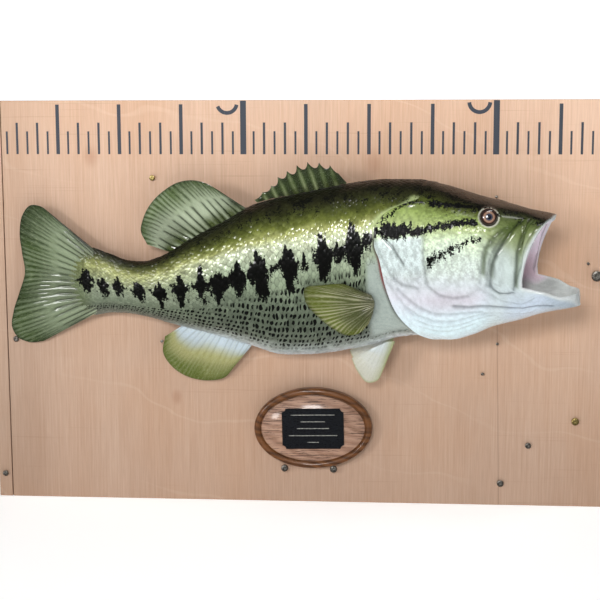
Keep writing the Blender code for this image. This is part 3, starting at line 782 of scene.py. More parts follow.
@dataclass(frozen=True)
class FinWeb:
    """Varnished fin, with fine streaks along the rays."""

    name: str = "fin_web"
    varnish: Varnish = Varnish(0.8, 0.05)
    hair: Colour = tone(178, 190, 150)
    hair_span: Span = (0.52, 0.68)
    hair_share: float = 0.3
    streak_pitch: Span = (9.0, 5.0)
    fleck: float = 600.0
    roughness: float = 0.24
    relief: float = 0.0006

    def make(self) -> Material:
        """Builds the material."""
        nodes = Nodes(self.name)
        across, out = self.streak_pitch
        where = nodes.add("CombineXYZ", {}, nodes.value("ray") * across, nodes.value("reach") * out, 0.0)
        streak = nodes.noise(where, 3.0, 4.0)
        fleck = nodes.noise(nodes.place(), self.fleck)
        web = nodes.shade(nodes.paint(), 0.56 + 0.7 * streak + 0.18 * fleck)
        return nodes.finish(
            Base_Color=nodes.mix(streak.between(*self.hair_span) * self.hair_share, web, self.hair),
            Roughness=self.roughness + 0.15 * fleck, Coat_Weight=self.varnish.strength,
            Normal=nodes.bump(streak + fleck * 0.2, self.relief), **self.varnish.sockets(),
        )


class Ramp:
    """Colours by share round the body, from the back to the belly."""

    def __init__(self, *stops: tuple[float, ...]) -> None:
        """Keeps the stops as (share, red, green, blue)."""
        self.shares = np.array([stop[0] for stop in stops])
        self.colours = np.array([tone(*stop[1:]) for stop in stops])

    def __call__(self, q: Array) -> Array:
        """Colours at the given shares."""
        return np.stack([np.interp(q, self.shares, self.colours[:, k]) for k in range(3)], axis=-1)


@dataclass(frozen=True)
class Wash:
    """A colour over the ground: its strength, and its reaches along and round the body."""

    colour: Colour
    strength: float
    along: Sequence[float] = (-1000, -999, 999, 1000)
    around: Sequence[float] = (-9, -8, 8, 9)

    def on(self, ground: Array, u: Array, q: Array, share: Array = 1.0) -> Array:
        """The ground with the wash over it, by a further share."""
        return blend(ground, self.colour, within(self.along, u) * within(self.around, q) * share * self.strength)


@dataclass(frozen=True)
class Bar:
    """A dark bar: its station, the shares of its top, middle and foot, and its half width."""

    station: float
    top: float
    middle: float
    foot: float
    half: float
    taper: Span = (1.25, 0.7)
    lean: Span = (12.0, 40.0)
    outside: float = -9.0

    def inside(self, u: Array, q: Array) -> Array:
        """How far inside the bar each point lies, in millimetres."""
        above = q < self.middle
        up, down = (q - self.top) / (self.middle - self.top), (self.foot - q) / (self.foot - self.middle)
        reach = np.where(above, up, down)
        half = self.half * np.clip(reach, 0, 1) ** np.where(above, *self.taper)
        lean = self.lean[0] + (self.lean[1] - self.lean[0]) * ease(-130, -20, self.station)
        off = np.abs(u - self.station - lean * (q - self.middle))
        return np.where(reach > 0, half - off, self.outside)


@dataclass(frozen=True)
class Stroke:
    """A dark streak painted on the head along (station, share) points."""

    track: Pairs
    width: float
    strength: float


@dataclass(frozen=True)
class Crease:
    """A groove of the head along (station, share) points, or a ridge of negative depth; its shade is painted shade in
    the groove.
    """

    track: Pairs
    depth: float
    width: float
    shade: float


BARS = tuple(Bar(*row) for row in (
    (-261, 0.36, 0.48, 0.62, 11), (-238, 0.4, 0.5, 0.66, 9), (-218, 0.375, 0.49, 0.62, 9.5),
    (-191, 0.37, 0.5, 0.66, 10), (-165, 0.39, 0.51, 0.68, 9.5), (-140, 0.33, 0.5, 0.66, 10),
    (-112, 0.34, 0.48, 0.62, 9), (-92, 0.41, 0.475, 0.6, 14), (-66, 0.38, 0.465, 0.57, 12),
    (-40, 0.33, 0.45, 0.57, 15), (-6, 0.33, 0.43, 0.54, 14), (13, 0.39, 0.435, 0.475, 5), (35, 0.3, 0.41, 0.52, 14),
    (54, 0.36, 0.41, 0.46, 8), (76, 0.28, 0.4, 0.505, 17), (95, 0.34, 0.39, 0.45, 10),
))
STROKES = tuple(Stroke(*row) for row in (
    (((240, 0.085), (225, 0.133), (200, 0.178), (178, 0.208)), 5.5, 0.95),
    (((178, 0.2), (150, 0.235), (130, 0.285), (112, 0.335)), 3.2, 0.85),
    (((230, 0.28), (215, 0.3), (200, 0.33), (175, 0.362), (150, 0.38), (125, 0.372), (112, 0.362)), 5.5, 0.95),
    (((154, 0.362), (138, 0.362), (120, 0.352)), 8.5, 0.85), (((236, 0.39), (220, 0.415), (208, 0.44)), 2.6, 0.9),
    (((208, 0.442), (198, 0.462), (186, 0.48), (180, 0.487)), 3.4, 0.86),
))
OLIVE_FOLDS = (
    ((240, 0.5), (244, 0.43), (251, 0.37), (262, 0.29), (270, 0.22)),
    ((249, 0.5), (255, 0.42), (263, 0.34), (272, 0.25), (280, 0.17)),
    ((275, 0.5), (277, 0.42), (281, 0.34), (287, 0.22), (294, 0.13)),
)
CREASES = tuple(Crease(*row) for row in (
    (
        ((173, 0.33), (172.5, 0.42), (173.5, 0.5), (177, 0.565), (190, 0.6), (205, 0.612), (222, 0.605)), 1.1, 1.7,
        0.35,
    ),
    (((178, 0.34), (177.5, 0.5), (182, 0.55), (196, 0.583), (215, 0.588)), -0.8, 2.6, -0.08),
    (((112, 0.36), (125, 0.4), (135, 0.43), (142, 0.465), (149, 0.495)), 1.5, 1.5, 0.6),
    (((109, 0.39), (113, 0.43), (121, 0.475), (131, 0.52), (146, 0.56), (165, 0.575)), 1.1, 1.8, 0.34),
    (((140, 0.575), (152, 0.615), (166, 0.655), (182, 0.685), (205, 0.69), (235, 0.7)), 1.3, 2.0, 0.26),
    (((150, 0.66), (163, 0.7), (180, 0.728), (205, 0.735), (240, 0.725)), 1.6, 2.4, 0.2),
    (((158, 0.72), (172, 0.755), (190, 0.77), (215, 0.765), (245, 0.75)), 1.3, 2.0, 0.15),
    (((166, 0.775), (180, 0.8), (200, 0.805), (225, 0.79)), 1.0, 2.6, 0.1),
    (((130, 0.56), (138, 0.6), (148, 0.65), (158, 0.7)), 0.9, 2.2, 0.16),
    (
        ((205, 0.65), (222, 0.662), (245, 0.67), (265, 0.675), (282, 0.684), (295, 0.715), (306, 0.76), (314, 0.8)),
        1.6, 2.2, 0.5,
    ),
    (((232, 0.7), (255, 0.71), (275, 0.725), (290, 0.76)), -0.8, 3.0, -0.1),
    (((224, 0.6), (236, 0.572), (247, 0.59), (258, 0.618), (275, 0.632), (294, 0.628)), 0.8, 2.0, 0.16),
    (((236, 0.545), (239, 0.46), (245, 0.4), (254, 0.335), (263, 0.27)), 1.0, 1.8, 0.3),
    (((247, 0.55), (248, 0.5), (253, 0.455), (259, 0.4), (266, 0.33), (273, 0.24), (279, 0.17)), 1.8, 1.8, 0.62),
    (((243, 0.55), (246, 0.48), (252, 0.42), (259, 0.35), (268, 0.26)), 0.8, 1.4, 0.35),
    (((247, 0.53), (250, 0.56), (257, 0.574), (265, 0.566), (272, 0.545)), 1.6, 1.5, 0.6),
    (((272, 0.53), (275.5, 0.46), (276, 0.4), (279, 0.33), (283, 0.24), (288, 0.14)), 1.3, 1.5, 0.55),
    (((281, 0.36), (285, 0.28), (290, 0.19), (294, 0.1)), 0.9, 1.3, 0.35),
    (((287, 0.3), (292, 0.22), (298, 0.12)), 0.6, 1.2, 0.2),
    (((262, 0.112), (264, 0.108)), 1.6, 1.3, 0.8),
    (((270, 0.1), (271.5, 0.097)), 1.4, 1.1, 0.8),
))


@dataclass(frozen=True)
class Markings:
    """The painted pattern at any point of the body, shared by hide and scales."""

    form: BassForm = FORM
    wrap: float = 240.0
    fade: float = 9.0
    stripe: Line = Line((-270, 0.49), (-140, 0.49), (-60, 0.465), (0, 0.435), (100, 0.4))
    stripe_half: Line = Line((-270, -1.5), (-140, -0.5), (-115, 6), (-70, 6), (-30, 3.5), (-5, -1), (100, -3))
    # The tail's pale band at shares 0.27 to 0.41 is partly its own pale paint and partly a painted highlight.
    tail: Ramp = Ramp(
        (0, 34, 32, 18), (0.12, 36, 36, 20), (0.2, 58, 62, 30), (0.27, 108, 112, 60), (0.33, 156, 160, 104),
        (0.41, 160, 166, 122), (0.5, 146, 156, 128), (0.58, 134, 144, 122), (0.66, 110, 120, 100),
        (0.76, 94, 100, 86), (0.85, 104, 106, 94), (1, 124, 126, 116),
    )
    # The pale band at shares 0.31 to 0.43 is partly the flank's own pale paint and partly a painted highlight.
    trunk: Ramp = Ramp(
        (0, 24, 23, 15), (0.1, 30, 30, 18), (0.17, 44, 46, 22), (0.22, 64, 70, 30), (0.27, 102, 110, 48),
        (0.31, 150, 154, 94), (0.36, 186, 194, 166), (0.43, 170, 184, 156), (0.5, 140, 154, 128),
        (0.56, 104, 115, 96), (0.66, 85, 94, 79), (0.76, 97, 104, 91), (0.83, 148, 156, 150), (0.9, 188, 198, 202),
        (1, 188, 198, 204),
    )
    head: Ramp = Ramp(
        (0, 20, 18, 11), (0.08, 27, 27, 15), (0.12, 40, 40, 21), (0.16, 54, 58, 26), (0.21, 88, 98, 42),
        (0.27, 144, 163, 90), (0.34, 184, 200, 136), (0.41, 222, 240, 206), (0.48, 216, 230, 216),
        (0.55, 210, 218, 221), (0.62, 212, 214, 223), (0.7, 212, 228, 235), (0.8, 211, 231, 236), (1, 206, 222, 230),
    )
    snout: Ramp = Ramp(
        (0, 22, 20, 13), (0.08, 32, 32, 20), (0.12, 50, 53, 32), (0.18, 78, 88, 48), (0.28, 112, 126, 76),
        (0.38, 148, 160, 122), (0.47, 192, 207, 200), (0.55, 188, 200, 206), (0.66, 186, 198, 212),
        (1, 196, 208, 214),
    )
    breast: Wash = Wash(tone(170, 182, 176), 0.8, (90, 100, 999, 1000), (0.44, 0.5, 0.78, 0.86))
    # Painted highlight: a pale green band at the top of the gill opening, along the gill cover's rim.
    gill_rim_highlight: Wash = Wash(tone(190, 206, 146), 0.9, around=(0.16, 0.2, 0.33, 0.37))
    tail_root: Wash = Wash(tone(86, 98, 60), 0.75, (-1000, -999, -276, -246))
    # The gill cover's pale silvery paint, brightened to a painted highlight.
    opercle_silver_and_highlight: Wash = Wash(tone(222, 236, 236), 0.88, (-1000, -999, 168, 176), (0.38, 0.41, 0.5, 0.54))
    lilac: Wash = Wash(tone(188, 178, 186), 0.55)
    olive_fold: Wash = Wash(tone(74, 90, 42), 0.8)
    maxilla: Wash = Wash(tone(196, 208, 206), 0.6, around=(0.33, 0.46, 8, 9))
    cheek_patch: Wash = Wash((0.0, 0.0, 0.0), 0.26, (104, 130, 250, 268), (0.14, 0.2, 0.5, 0.62))
    # Painted shade: a grey-blue darkening under the tip of the chin.
    chin_shade: Wash = Wash(tone(104, 120, 134), 0.4, (292, 324, 999, 1000), (0.56, 0.64, 8, 9))
    bars_ragged: Span = (4.0, 9.0)
    stroke_ragged: float = 0.6
    stroke_fade: float = 1.15
    back_marks: float = 0.46

    def on_chart(self, u: Array, q: Array) -> Array:
        """Stations and shares as points of one flat chart in millimetres."""
        return np.stack(np.broadcast_arrays(u, np.asarray(q) * self.wrap), axis=-1)

    def along(self, u: Array, q: Array, track: Pairs) -> Array:
        """The distance over the skin to a track of (station, share) points."""
        return distance_to(self.on_chart(u, q), np.array(track, float) * (1, self.wrap))

    def mark(self, u: Array, q: Array) -> Array:
        """How far inside a dark mark each point lies, 0.5 at the mark's edge."""
        fine, coarse = self.bars_ragged
        ragged = fine * centred(Mottle(3)(u / 4, q * 60)) + coarse * centred(Mottle(4)(u / 2, q * 24))
        inside = self.stripe_half(u) - np.abs(q - self.stripe(u)) * self.wrap
        for bar in BARS:
            inside = np.maximum(inside, bar.inside(u, q))
        body = 0.5 + (inside + ragged) / self.fade
        top = self.back_marks * (1 - ease(0.14, 0.36, q)) * (0.45 + 0.9 * Mottle(6)(u / 9, q * 30))
        face = np.zeros(np.shape(body))
        for stroke in STROKES:
            inside = stroke.width - self.along(u, q, stroke.track) + self.stroke_ragged * ragged
            face = np.maximum(face, (0.5 + inside / (self.stroke_fade * self.fade)) * stroke.strength)
        return np.clip(np.maximum(np.where(u > self.form.gill_edge(q), face, body), top), 0, 1)

    def colours(self, u: Array, q: Array) -> Array:
        """The paint at a station and share, both flat lists.

        Args:
            u: Stations.
            q: Shares round the side.

        Returns:
            One linear colour for each.
        """
        cloud, fleck = Mottle(1)(u / 14, q * 16), Mottle(2)(u / 3, q * 75)
        soft = q + 0.03 * centred(cloud) + 0.012 * centred(fleck)
        past_gill = u - self.form.gill_edge(q)
        body = blend(self.tail(soft), self.trunk(soft), ease(-190, -60, u))
        body = self.breast.on(body, u, q)
        # Painted highlight along the gill cover's upper rim.
        body = self.gill_rim_highlight.on(body, u, q, bell(past_gill + 5, 5.5))
        body = self.tail_root.on(body, u, q)
        face = blend(self.head(soft), self.snout(soft), ease(228, 258, u))
        # Pale gill cover, brightened to a painted highlight.
        face = self.opercle_silver_and_highlight.on(face, u, q)
        face = self.lilac.on(face, u, q, bell(np.hypot((u - 200) / 36, (q - 0.63) / 0.05)))
        for track in OLIVE_FOLDS:
            face = self.olive_fold.on(face, u, q, bell(self.along(u, q, track), 2.8))
        face = self.maxilla.on(face, u, q, bell(u - 262 + 40 * (q - 0.45), 13))
        face = self.cheek_patch.on(face, u, q, ease(0.42, 0.7, Mottle(12)(u / 2.6, q * 85)))
        # Painted shade under the chin's tip.
        face = self.chin_shade.on(face, u, q)
        return blend(body, face, ease(-0.5, 0.5, past_gill)) * (0.9 + 0.2 * fleck)[..., None]

    def shine(self, u: Array, q: Array) -> Array:
        """How silvery the paint is, on flank and gill cover."""
        flank = bell(q - 0.36, 0.1) * (0.22 + 0.2 * (1 - ease(-150, -60, u))) * (u < 105)
        cover = within((0.36, 0.42, 0.52, 0.58), q) * within((104, 112, 170, 190), u)
        return np.clip(flank + 0.15 * cover, 0, 0.5)

    def dull(self, q: Array) -> Array:
        """How little varnish is left, along the top of the back."""
        return 0.85 * (1 - ease(0.06, 0.17, q))

    def cheek(self, u: Array, q: Array) -> Array:
        """Where the head carries its small cheek scales."""
        return within((168, 178, 232, 244), u) * within((0.17, 0.22, 0.5, 0.56), q)

    def relief(self, u: Array, q: Array) -> tuple[Array, Array]:
        """The head's folds and seams.

        Args:
            u: Stations.
            q: Shares round the side.

        Returns:
            How far the skin stands off the plain form, and how much painted shade darkens it there.
        """
        lift, shade = np.zeros_like(u), np.zeros_like(u)
        for crease in CREASES:
            near = bell(self.along(u, q, crease.track), crease.width)
            lift -= near * crease.depth
            shade = np.maximum(shade, near * crease.shade) if crease.shade > 0 else shade
        off = self.form.from_eye(u, q)
        lift += 0.9 * bell(off - 11.8, 1.6) - 6.5 * (1 - ease(8.4, 10.8, off))
        lift += 0.3 * centred(Mottle(8)(u / 3, q * 70)) * within((110, 120, 240, 260), u)
        wrinkled = within((236, 246, 256, 266), u) * within((0.2, 0.26, 0.44, 0.52), q)
        lift += 0.9 * centred(Mottle(7)(u / 2.2, q * 36 + u / 9)) * wrinkled
        return lift, shade


@dataclass(frozen=True)
class Skin:
    """The one skin over body, head and jaws, carried into the mouth."""

    form: BassForm = FORM
    marks: Markings = Markings()
    near_columns: int = 200
    far_columns: int = 110
    trunk_pitch: float = 4.5
    trunk_front: float = 60.0
    coat_depth: float = 0.9
    bare_depth: float = 0.3
    gill_proud: float = 4.2
    head_rows: int = 130
    head_depth: float = 0.6
    lip: float = 2.4
    lip_turns: Sequence[float] = (20, 50, 80, 110, 140, 165)
    lips_from: float = 240.0
    throat: tuple[float, float, float, float] = (172.0, 26.0, 30.0, 70.0)
    # Painted light: how brightly the mouth's lining glows, in place of light reaching into the open mouth.
    painted_mouth_light: float = 0.13
    gill_fold: Pairs = (
        (-1.5, -0.2), (2.5, -1.4), (6, -2.9), (7, -3.1), (4, -0.4), (1, 2.0), (0, 2.9), (0.3, 3.8), (1.6, 4.2),
    )
    fold_red: Wash = Wash(tone(84, 30, 28), 1.0)
    gill_shadow: Wash = Wash(tone(34, 30, 24), 0.9, around=(0.34, 0.4, 0.84, 0.92))
    gill_red: Wash = Wash(tone(158, 50, 56), 0.85, around=(0.34, 0.4, 0.84, 0.92))
    eyelid: Wash = Wash(tone(206, 206, 190), 0.9)
    lip_pale: Wash = Wash(tone(200, 208, 208), 0.85)
    nodes: tuple[str, ...] = (
        "tail_stalk", "trunk_rear", "trunk_front", "head", "upper_jaw", "lower_jaw", "gill_cover_right",
        "gill_cover_left",
    )

    def columns(self) -> tuple[Array, Array]:
        """Each column's share round its side, and the side's sign."""
        near = np.linspace(0, 1, self.near_columns)
        far = np.linspace(1, 0, self.far_columns + 2)[1:-1]
        return np.concatenate((near, far)), np.concatenate((np.ones(len(near)), -np.ones(len(far))))

    def outer_rows(self, q: Array) -> tuple[Array, Array, Array]:
        """Rows over the outside, from the tail fin's foot to the start of the lips.

        Args:
            q: Each column's share.

        Returns:
            The rows' stations, lifts and depths in the gill's fold.
        """
        edge = self.form.gill_edge(q)
        fold = within((0.175, 0.25, 0.88, 0.96), q)
        trunk = (*np.arange(-288, -251, 4.0), *np.arange(-250, self.trunk_front, self.trunk_pitch))
        stations = [np.full_like(q, u) for u in trunk]
        stations += [self.trunk_front + (edge - 3 - self.trunk_front) * s for s in np.linspace(0, 1, 20)]
        lifts = [-self.bare_depth - self.coat_depth * (1 - ease(-14, -4, u - edge)) for u in stations]
        hidden = [np.zeros_like(q) for _ in stations]
        for k, (ahead, lift) in enumerate(self.gill_fold):
            stations.append(edge + ahead * fold + (0.4 * k - 2.4) * (1 - fold))
            lifts.append(lift * fold - self.bare_depth)
            hidden.append(fold * bell(k - 3, 2.0))
        start, end = edge + 3, self.form.last_station(q) - self.lip
        for s in np.linspace(0, 1, self.head_rows):
            u = start + (end - start) * s
            share = (u - edge) / np.maximum(self.form.gill_front(q) - edge, 1)
            folds, _ = self.marks.relief(u, q)
            stations.append(u)
            proud = self.gill_proud * (1 - ease(0.15, 1, share)) * fold
            lifts.append(proud - self.bare_depth - self.head_depth + folds)
            hidden.append(np.zeros_like(q))
        return np.array(stations), np.array(lifts), np.array(hidden)

    def outside_paint(self, stations: Array, shares: Array, hidden: Array) -> Array:
        """Outer paint: markings, painted shade in creases and at the gill's edge, the gill's fold, eyelid and lips.
        """
        form, marks = self.form, self.marks
        past_gill = stations - form.gill_edge(shares)
        colours = marks.colours(stations.ravel(), shares.ravel()).reshape(*stations.shape, 3)
        # Painted shade darkens the head's creases.
        colours *= (1 - np.where(past_gill > 0, marks.relief(stations, shares)[1], 0))[..., None]
        colours = self.fold_red.on(colours, stations, shares, hidden)
        edge = bell(past_gill + 2.0, 1.6)
        colours = self.gill_shadow.on(colours, stations, shares, edge)
        colours = self.gill_red.on(colours, stations, shares, edge * bell(shares - 0.52, 0.05))
        lid = within((8.2, 9.2, 11.2, 12.6), form.from_eye(stations, shares))
        colours = self.eyelid.on(colours, stations, shares, lid)
        to_lip, front = form.last_station(shares) - stations, stations > self.lips_from
        colours = self.lip_pale.on(colours, stations, shares, (1 - ease(1.5, 5, to_lip)) * front)
        return colours * (1 - 0.45 * bell(to_lip - 6.5, 1.2) * front * (shares < 0.5))[..., None]

    def inside_rows(self, q: Array) -> tuple[Array, Array]:
        """Rows that roll over the lips and run down into the mouth.

        Args:
            q: Each column's share.

        Returns:
            The rows' points and depths, from below 0 at the lips to 1 at the throat.
        """
        form, end, rows = self.form, self.form.last_station(q), []
        for turn in np.radians(self.lip_turns):
            lift = -self.bare_depth - self.head_depth - self.lip * (1 - math.cos(turn))
            rows.append(form.surface(end - self.lip + self.lip * math.sin(turn), q, lift))
        station, half, high, middle = self.throat
        around = half * np.sin(np.pi * q), middle + high * np.cos(np.pi * q)
        throat = np.stack((np.full_like(q, station), *around), -1)
        depths = np.concatenate((np.linspace(0.02, 0.5, 18), np.linspace(0.56, 1, 8)))
        for depth in depths:
            wall = form.surface(end - depth * (end - station), q, -5.4 - 9 * depth)
            share = ease(0.12, 1, depth)
            rows.append(wall * (1 - share) + throat * share)
        rows = np.array(rows)
        rows[:, (q == 0) | (q == 1), 1] = 0
        return rows, np.concatenate((np.linspace(-0.06, 0, len(self.lip_turns)), depths))

    def build(self, finish: Material) -> None:
        """Makes the skin as one closed sleeve.

        Args:
            finish: Its material.
        """
        form, marks = self.form, self.marks
        q, sign = self.columns()
        stations, lifts, hidden = self.outer_rows(q)
        shares = np.broadcast_to(q, stations.shape)
        inside, depths = self.inside_rows(q)
        rows = np.concatenate((form.surface(stations, shares, lifts), inside))
        shell = tube(form.place(form.to_side(rows, np.broadcast_to(sign, rows.shape[:2]))))
        # Painted light: the upper jaw's lining glows, fading out towards the throat.
        mouth_light_reach = (depths > 0) * (1 - ease(0.35, 0.8, depths))
        blank = np.zeros(inside.shape[:2])
        for key, outer, inner in (
            ("paint", self.outside_paint(stations, shares, hidden), self.lining(q, depths)),
            ("mark", marks.mark(stations, shares) * (1 - hidden), blank),
            ("shine", marks.shine(stations, shares), blank), ("cheek", marks.cheek(stations, shares), blank),
            ("dull", marks.dull(shares), marks.dull(q) + blank),
            ("glow", np.zeros(stations.shape), self.painted_mouth_light * mouth_light_reach[:, None] * (1 - ease(0.46, 0.54, q))),
        ):
            shell.values[key] = with_ends(np.concatenate((outer, inner)))
        shell.object("skin", finish, Slot.SKIN, *self.nodes)

    def lining(self, q: Array, depths: Array) -> Array:
        """The mouth's colours by row, from the lips below 0 to the throat at 1."""
        q, depth = np.meshgrid(q, depths)
        cloud = Mottle(9)(q * 40, depth * 30)
        # The lilac is the lining's own colour made near white, painted light for the shaded inside of the mouth.
        lilac, pink, grey = tone(246, 236, 247), tone(220, 176, 182), tone(198, 204, 200)
        lip, throat = tone(206, 212, 212), tone(130, 80, 82)
        colours = blend(np.broadcast_to(lilac, (*q.shape, 3)), grey, ease(0.52, 0.6, q))
        colours = blend(colours, pink, bell(q - 0.5, 0.05) * 0.35)
        colours = blend(colours, lip, 1 - ease(-0.045, 0.0, depth))
        colours *= (1 - 0.55 * bell(depth - 0.02, 0.012) * (q < 0.5))[..., None]
        colours = blend(colours, throat, ease(0.6, 1.05, depth))
        return colours * (0.88 + 0.24 * cloud)[..., None]


@dataclass(frozen=True)
class Scales:
    """The trunk's scales on one side, in staggered rows."""

    side: Side
    form: BassForm = FORM
    marks: Markings = Markings()
    rows: int = 33
    dot_rows: int = 31
    dot_spread: float = 1.2
    pitch: Line = Line((-290, 2.4), (-262, 2.8), (-220, 3.2), (-160, 3.8), (-100, 4.5), (0, 4.4), (110, 4.2))
    first: float = 158.0
    last: float = -284.0
    row_drop: float = 0.08
    around: int = 12
    rings: Pairs = ((0.0, 1.0), (0.55, 0.7), (1.0, 0.0), (0.0, -1.2))
    length: float = 0.88
    width: float = 0.6
    ahead: float = 0.3
    thick: float = 0.35
    root_depth: float = 1.05
    dome: float = 0.3
    unevenness: Line = Line((-290, 0.15), (-180, 0.13), (-80, 0.08), (20, 0.04))
    board_room: float = 5.0

    def roots(self) -> tuple[Array, Array, Array]:
        """Where the scales grow.

        Returns:
            Each scale's station, share and pitch.
        """
        found, u, column = [], self.first, 0
        while u > self.last:
            step = float(self.pitch(u))
            first = np.arange(self.rows) + (1.0 if column % 2 else 0.5)
            q = first[first < self.rows] / self.rows
            q = q + self.row_drop * (1 - ease(-150, 30, u)) * np.sin(np.pi * q)
            found += [(u, share, step) for share in q]
            u, column = u - step, column + 1
        u, q, step = np.array(found).T
        edge = self.form.gill_edge(q) - np.where((q > 0.2) & (q < 0.37), 10.0, 3.5)
        bare = (u > 93) & (q > 0.48) & (q < 0.82)
        posed = self.form.place(self.form.to_side(np.stack((u, *self.form.outline(u, q)), -1), self.side))
        clear = posed[:, 1] < -(BOARD_THICK + self.board_room) * MM
        keep = (u < edge) & ~bare & (clear | (self.side is Side.NEAR))
        return u[keep], q[keep], step[keep]

    def spots(self, u: Array, q: Array) -> Array:
        """How strongly each scale carries its dark spot."""
        top = np.interp(u, (-250, -150, -60, 10, 60, 100), (0.74, 0.67, 0.57, 0.51, 0.5, 0.5))
        strength = ease(-0.02, 0.01, q - top) * ease(-290, -240, u) * (1 - ease(0.78, 0.86, q))
        return strength * ease(0.1, 0.25, Mottle(11)(u / 6, q * 25))

    def build(self, finish: Material) -> None:
        """Makes the side's coat of scales.

        Args:
            finish: Its material.
        """
        u, q, step = self.roots()
        girth, pitch = self.form.girth(u)[:, None], step[:, None]
        turn = full_turn(self.around)
        reach, raised = (np.repeat(column, (1, self.around, self.around, 1)) for column in zip(*self.rings))
        angle = np.concatenate(([0.0], turn, turn, [0.0]))
        along, across = reach * np.cos(angle), reach * np.sin(angle)
        tailward = along * self.length * pitch + self.ahead * pitch
        sideways = across * self.width * girth / self.rows * np.sqrt(1 - 0.25 * np.clip(along, 0, 1) ** 2)
        tilt = np.random.default_rng(22).normal(0, 1, (2, len(u), 1)) * self.unevenness(u)[:, None]
        lift = self.root_depth * (0.42 * along - 0.5) + self.dome * raised - self.thick * 0.3
        lift = lift + tilt[0] * along * self.length * pitch + tilt[1] * sideways
        station, share = u[:, None] - tailward, np.clip(q[:, None] + sideways / girth, 0, 1)
        points = self.form.surface(station, share, lift * np.clip(pitch / 4.2, 0.6, 1))
        points = self.form.place(self.form.to_side(points, self.side))
        count, n, ring = points.shape[1], self.around, np.arange(1, self.around + 1)
        local = np.concatenate((
            cap_faces(ring, 0), np.stack([ring + n, np.roll(ring, -1) + n, np.roll(ring, -1), ring], -1),
            cap_faces((ring + n)[::-1], count - 1),
        ))
        faces = (np.arange(len(u))[:, None, None] * count + local).reshape(-1, 4)
        root = np.stack(((u + 280) / 640, 0.01 + 0.48 * q), -1)
        if self.side is Side.FAR:
            root[:, 1] = 1 - root[:, 1]
        patch = root[:, None] + 0.0015 * np.stack((along, across), -1)
        values = self.paint(u, q, station.ravel(), share.ravel(), reach)
        shell = Shell(points.reshape(-1, 3), faces, values, patch.reshape(-1, 2))
        shell.object(f"scales_{self.side.name.lower()}", finish, Slot.SKIN)

    def paint(self, u: Array, q: Array, station: Array, share: Array, reach: Array) -> dict[str, Array]:
        """The coat's painted values.

        Args:
            u: Each scale's station.
            q: Each scale's share.
            station: Each point's station.
            share: Each point's share.
            reach: How far out one scale's points lie.

        Returns:
            The values by name.
        """
        marks, count = self.marks, len(reach)
        stations = np.arange(-320.0, 200.0)
        counted = np.cumsum(1 / self.pitch(stations)) / self.dot_spread
        chance = np.random.default_rng(21).random(len(u))
        dull = np.clip(marks.dull(q) + 0.6 * ease(0.48, 0.6, q), 0, 0.9)
        return {
            "paint": marks.colours(station, share) * np.repeat(0.82 + 0.36 * chance, count)[:, None],
            "mark": marks.mark(station, share), "spot": self.spots(station, share),
            "dot_along": np.interp(station, stations, counted), "dot_row": share * self.dot_rows,
            "net": 0.1 + 0.3 * within((0.28, 0.4, 0.55, 0.7), share), "rim": np.tile(reach, len(u)),
            "shine": np.repeat(marks.shine(u, q), count), "dull": np.repeat(dull, count),
        }


def midline(points: Pairs) -> Path:
    """A path through (u, h) points of the body's middle plane."""
    return Path(*[(u, 0.0, h) for u, h in points])


@dataclass(frozen=True)
class FinPaint:
    """A fin's colours from foot to edge, and those of its rays and grooves."""

    foot: Colour
    middle: Colour
    edge: Colour
    ray: Colour
    groove: Colour
    ray_share: float
    groove_share: float
    cloud: float
    front_share: float
    front_width: float = 0.09
    bands: tuple[float, float, float, float] = (0.02, 0.4, 0.5, 0.95)


OLIVE = FinPaint(
    tone(70, 82, 36), tone(166, 178, 150), tone(80, 100, 52), tone(190, 202, 176), tone(22, 32, 14), 0.45, 0.8, 0.5,
    0.75,
)
SPINY = FinPaint(
    tone(58, 68, 26), tone(62, 80, 34), tone(48, 62, 28), tone(150, 160, 118), tone(14, 20, 10), 0.6, 0.55, 0.35, 0.8,
)
TAIL = FinPaint(
    tone(128, 138, 112), tone(132, 146, 116), tone(58, 78, 32), tone(178, 190, 162), tone(24, 34, 14), 0.35, 0.7, 0.6,
    0.9,
)
BREAST = FinPaint(
    tone(90, 92, 66), tone(84, 90, 48), tone(98, 108, 36), tone(204, 200, 170), tone(30, 34, 22), 0.7, 0.16, 0.3, 0.5,
)
ANAL = FinPaint(
    tone(196, 211, 221), tone(168, 166, 112), tone(90, 102, 36), tone(200, 202, 172), tone(84, 90, 40), 0.15, 0.2,
    0.15, 0.2, bands=(0.15, 0.55, 0.5, 0.98),
)
BELLY = FinPaint(
    tone(206, 214, 216), tone(208, 210, 202), tone(204, 202, 186), tone(220, 222, 216), tone(150, 154, 92), 0.2, 0.12,
    0.12, 0.85, front_width=0.5,
)


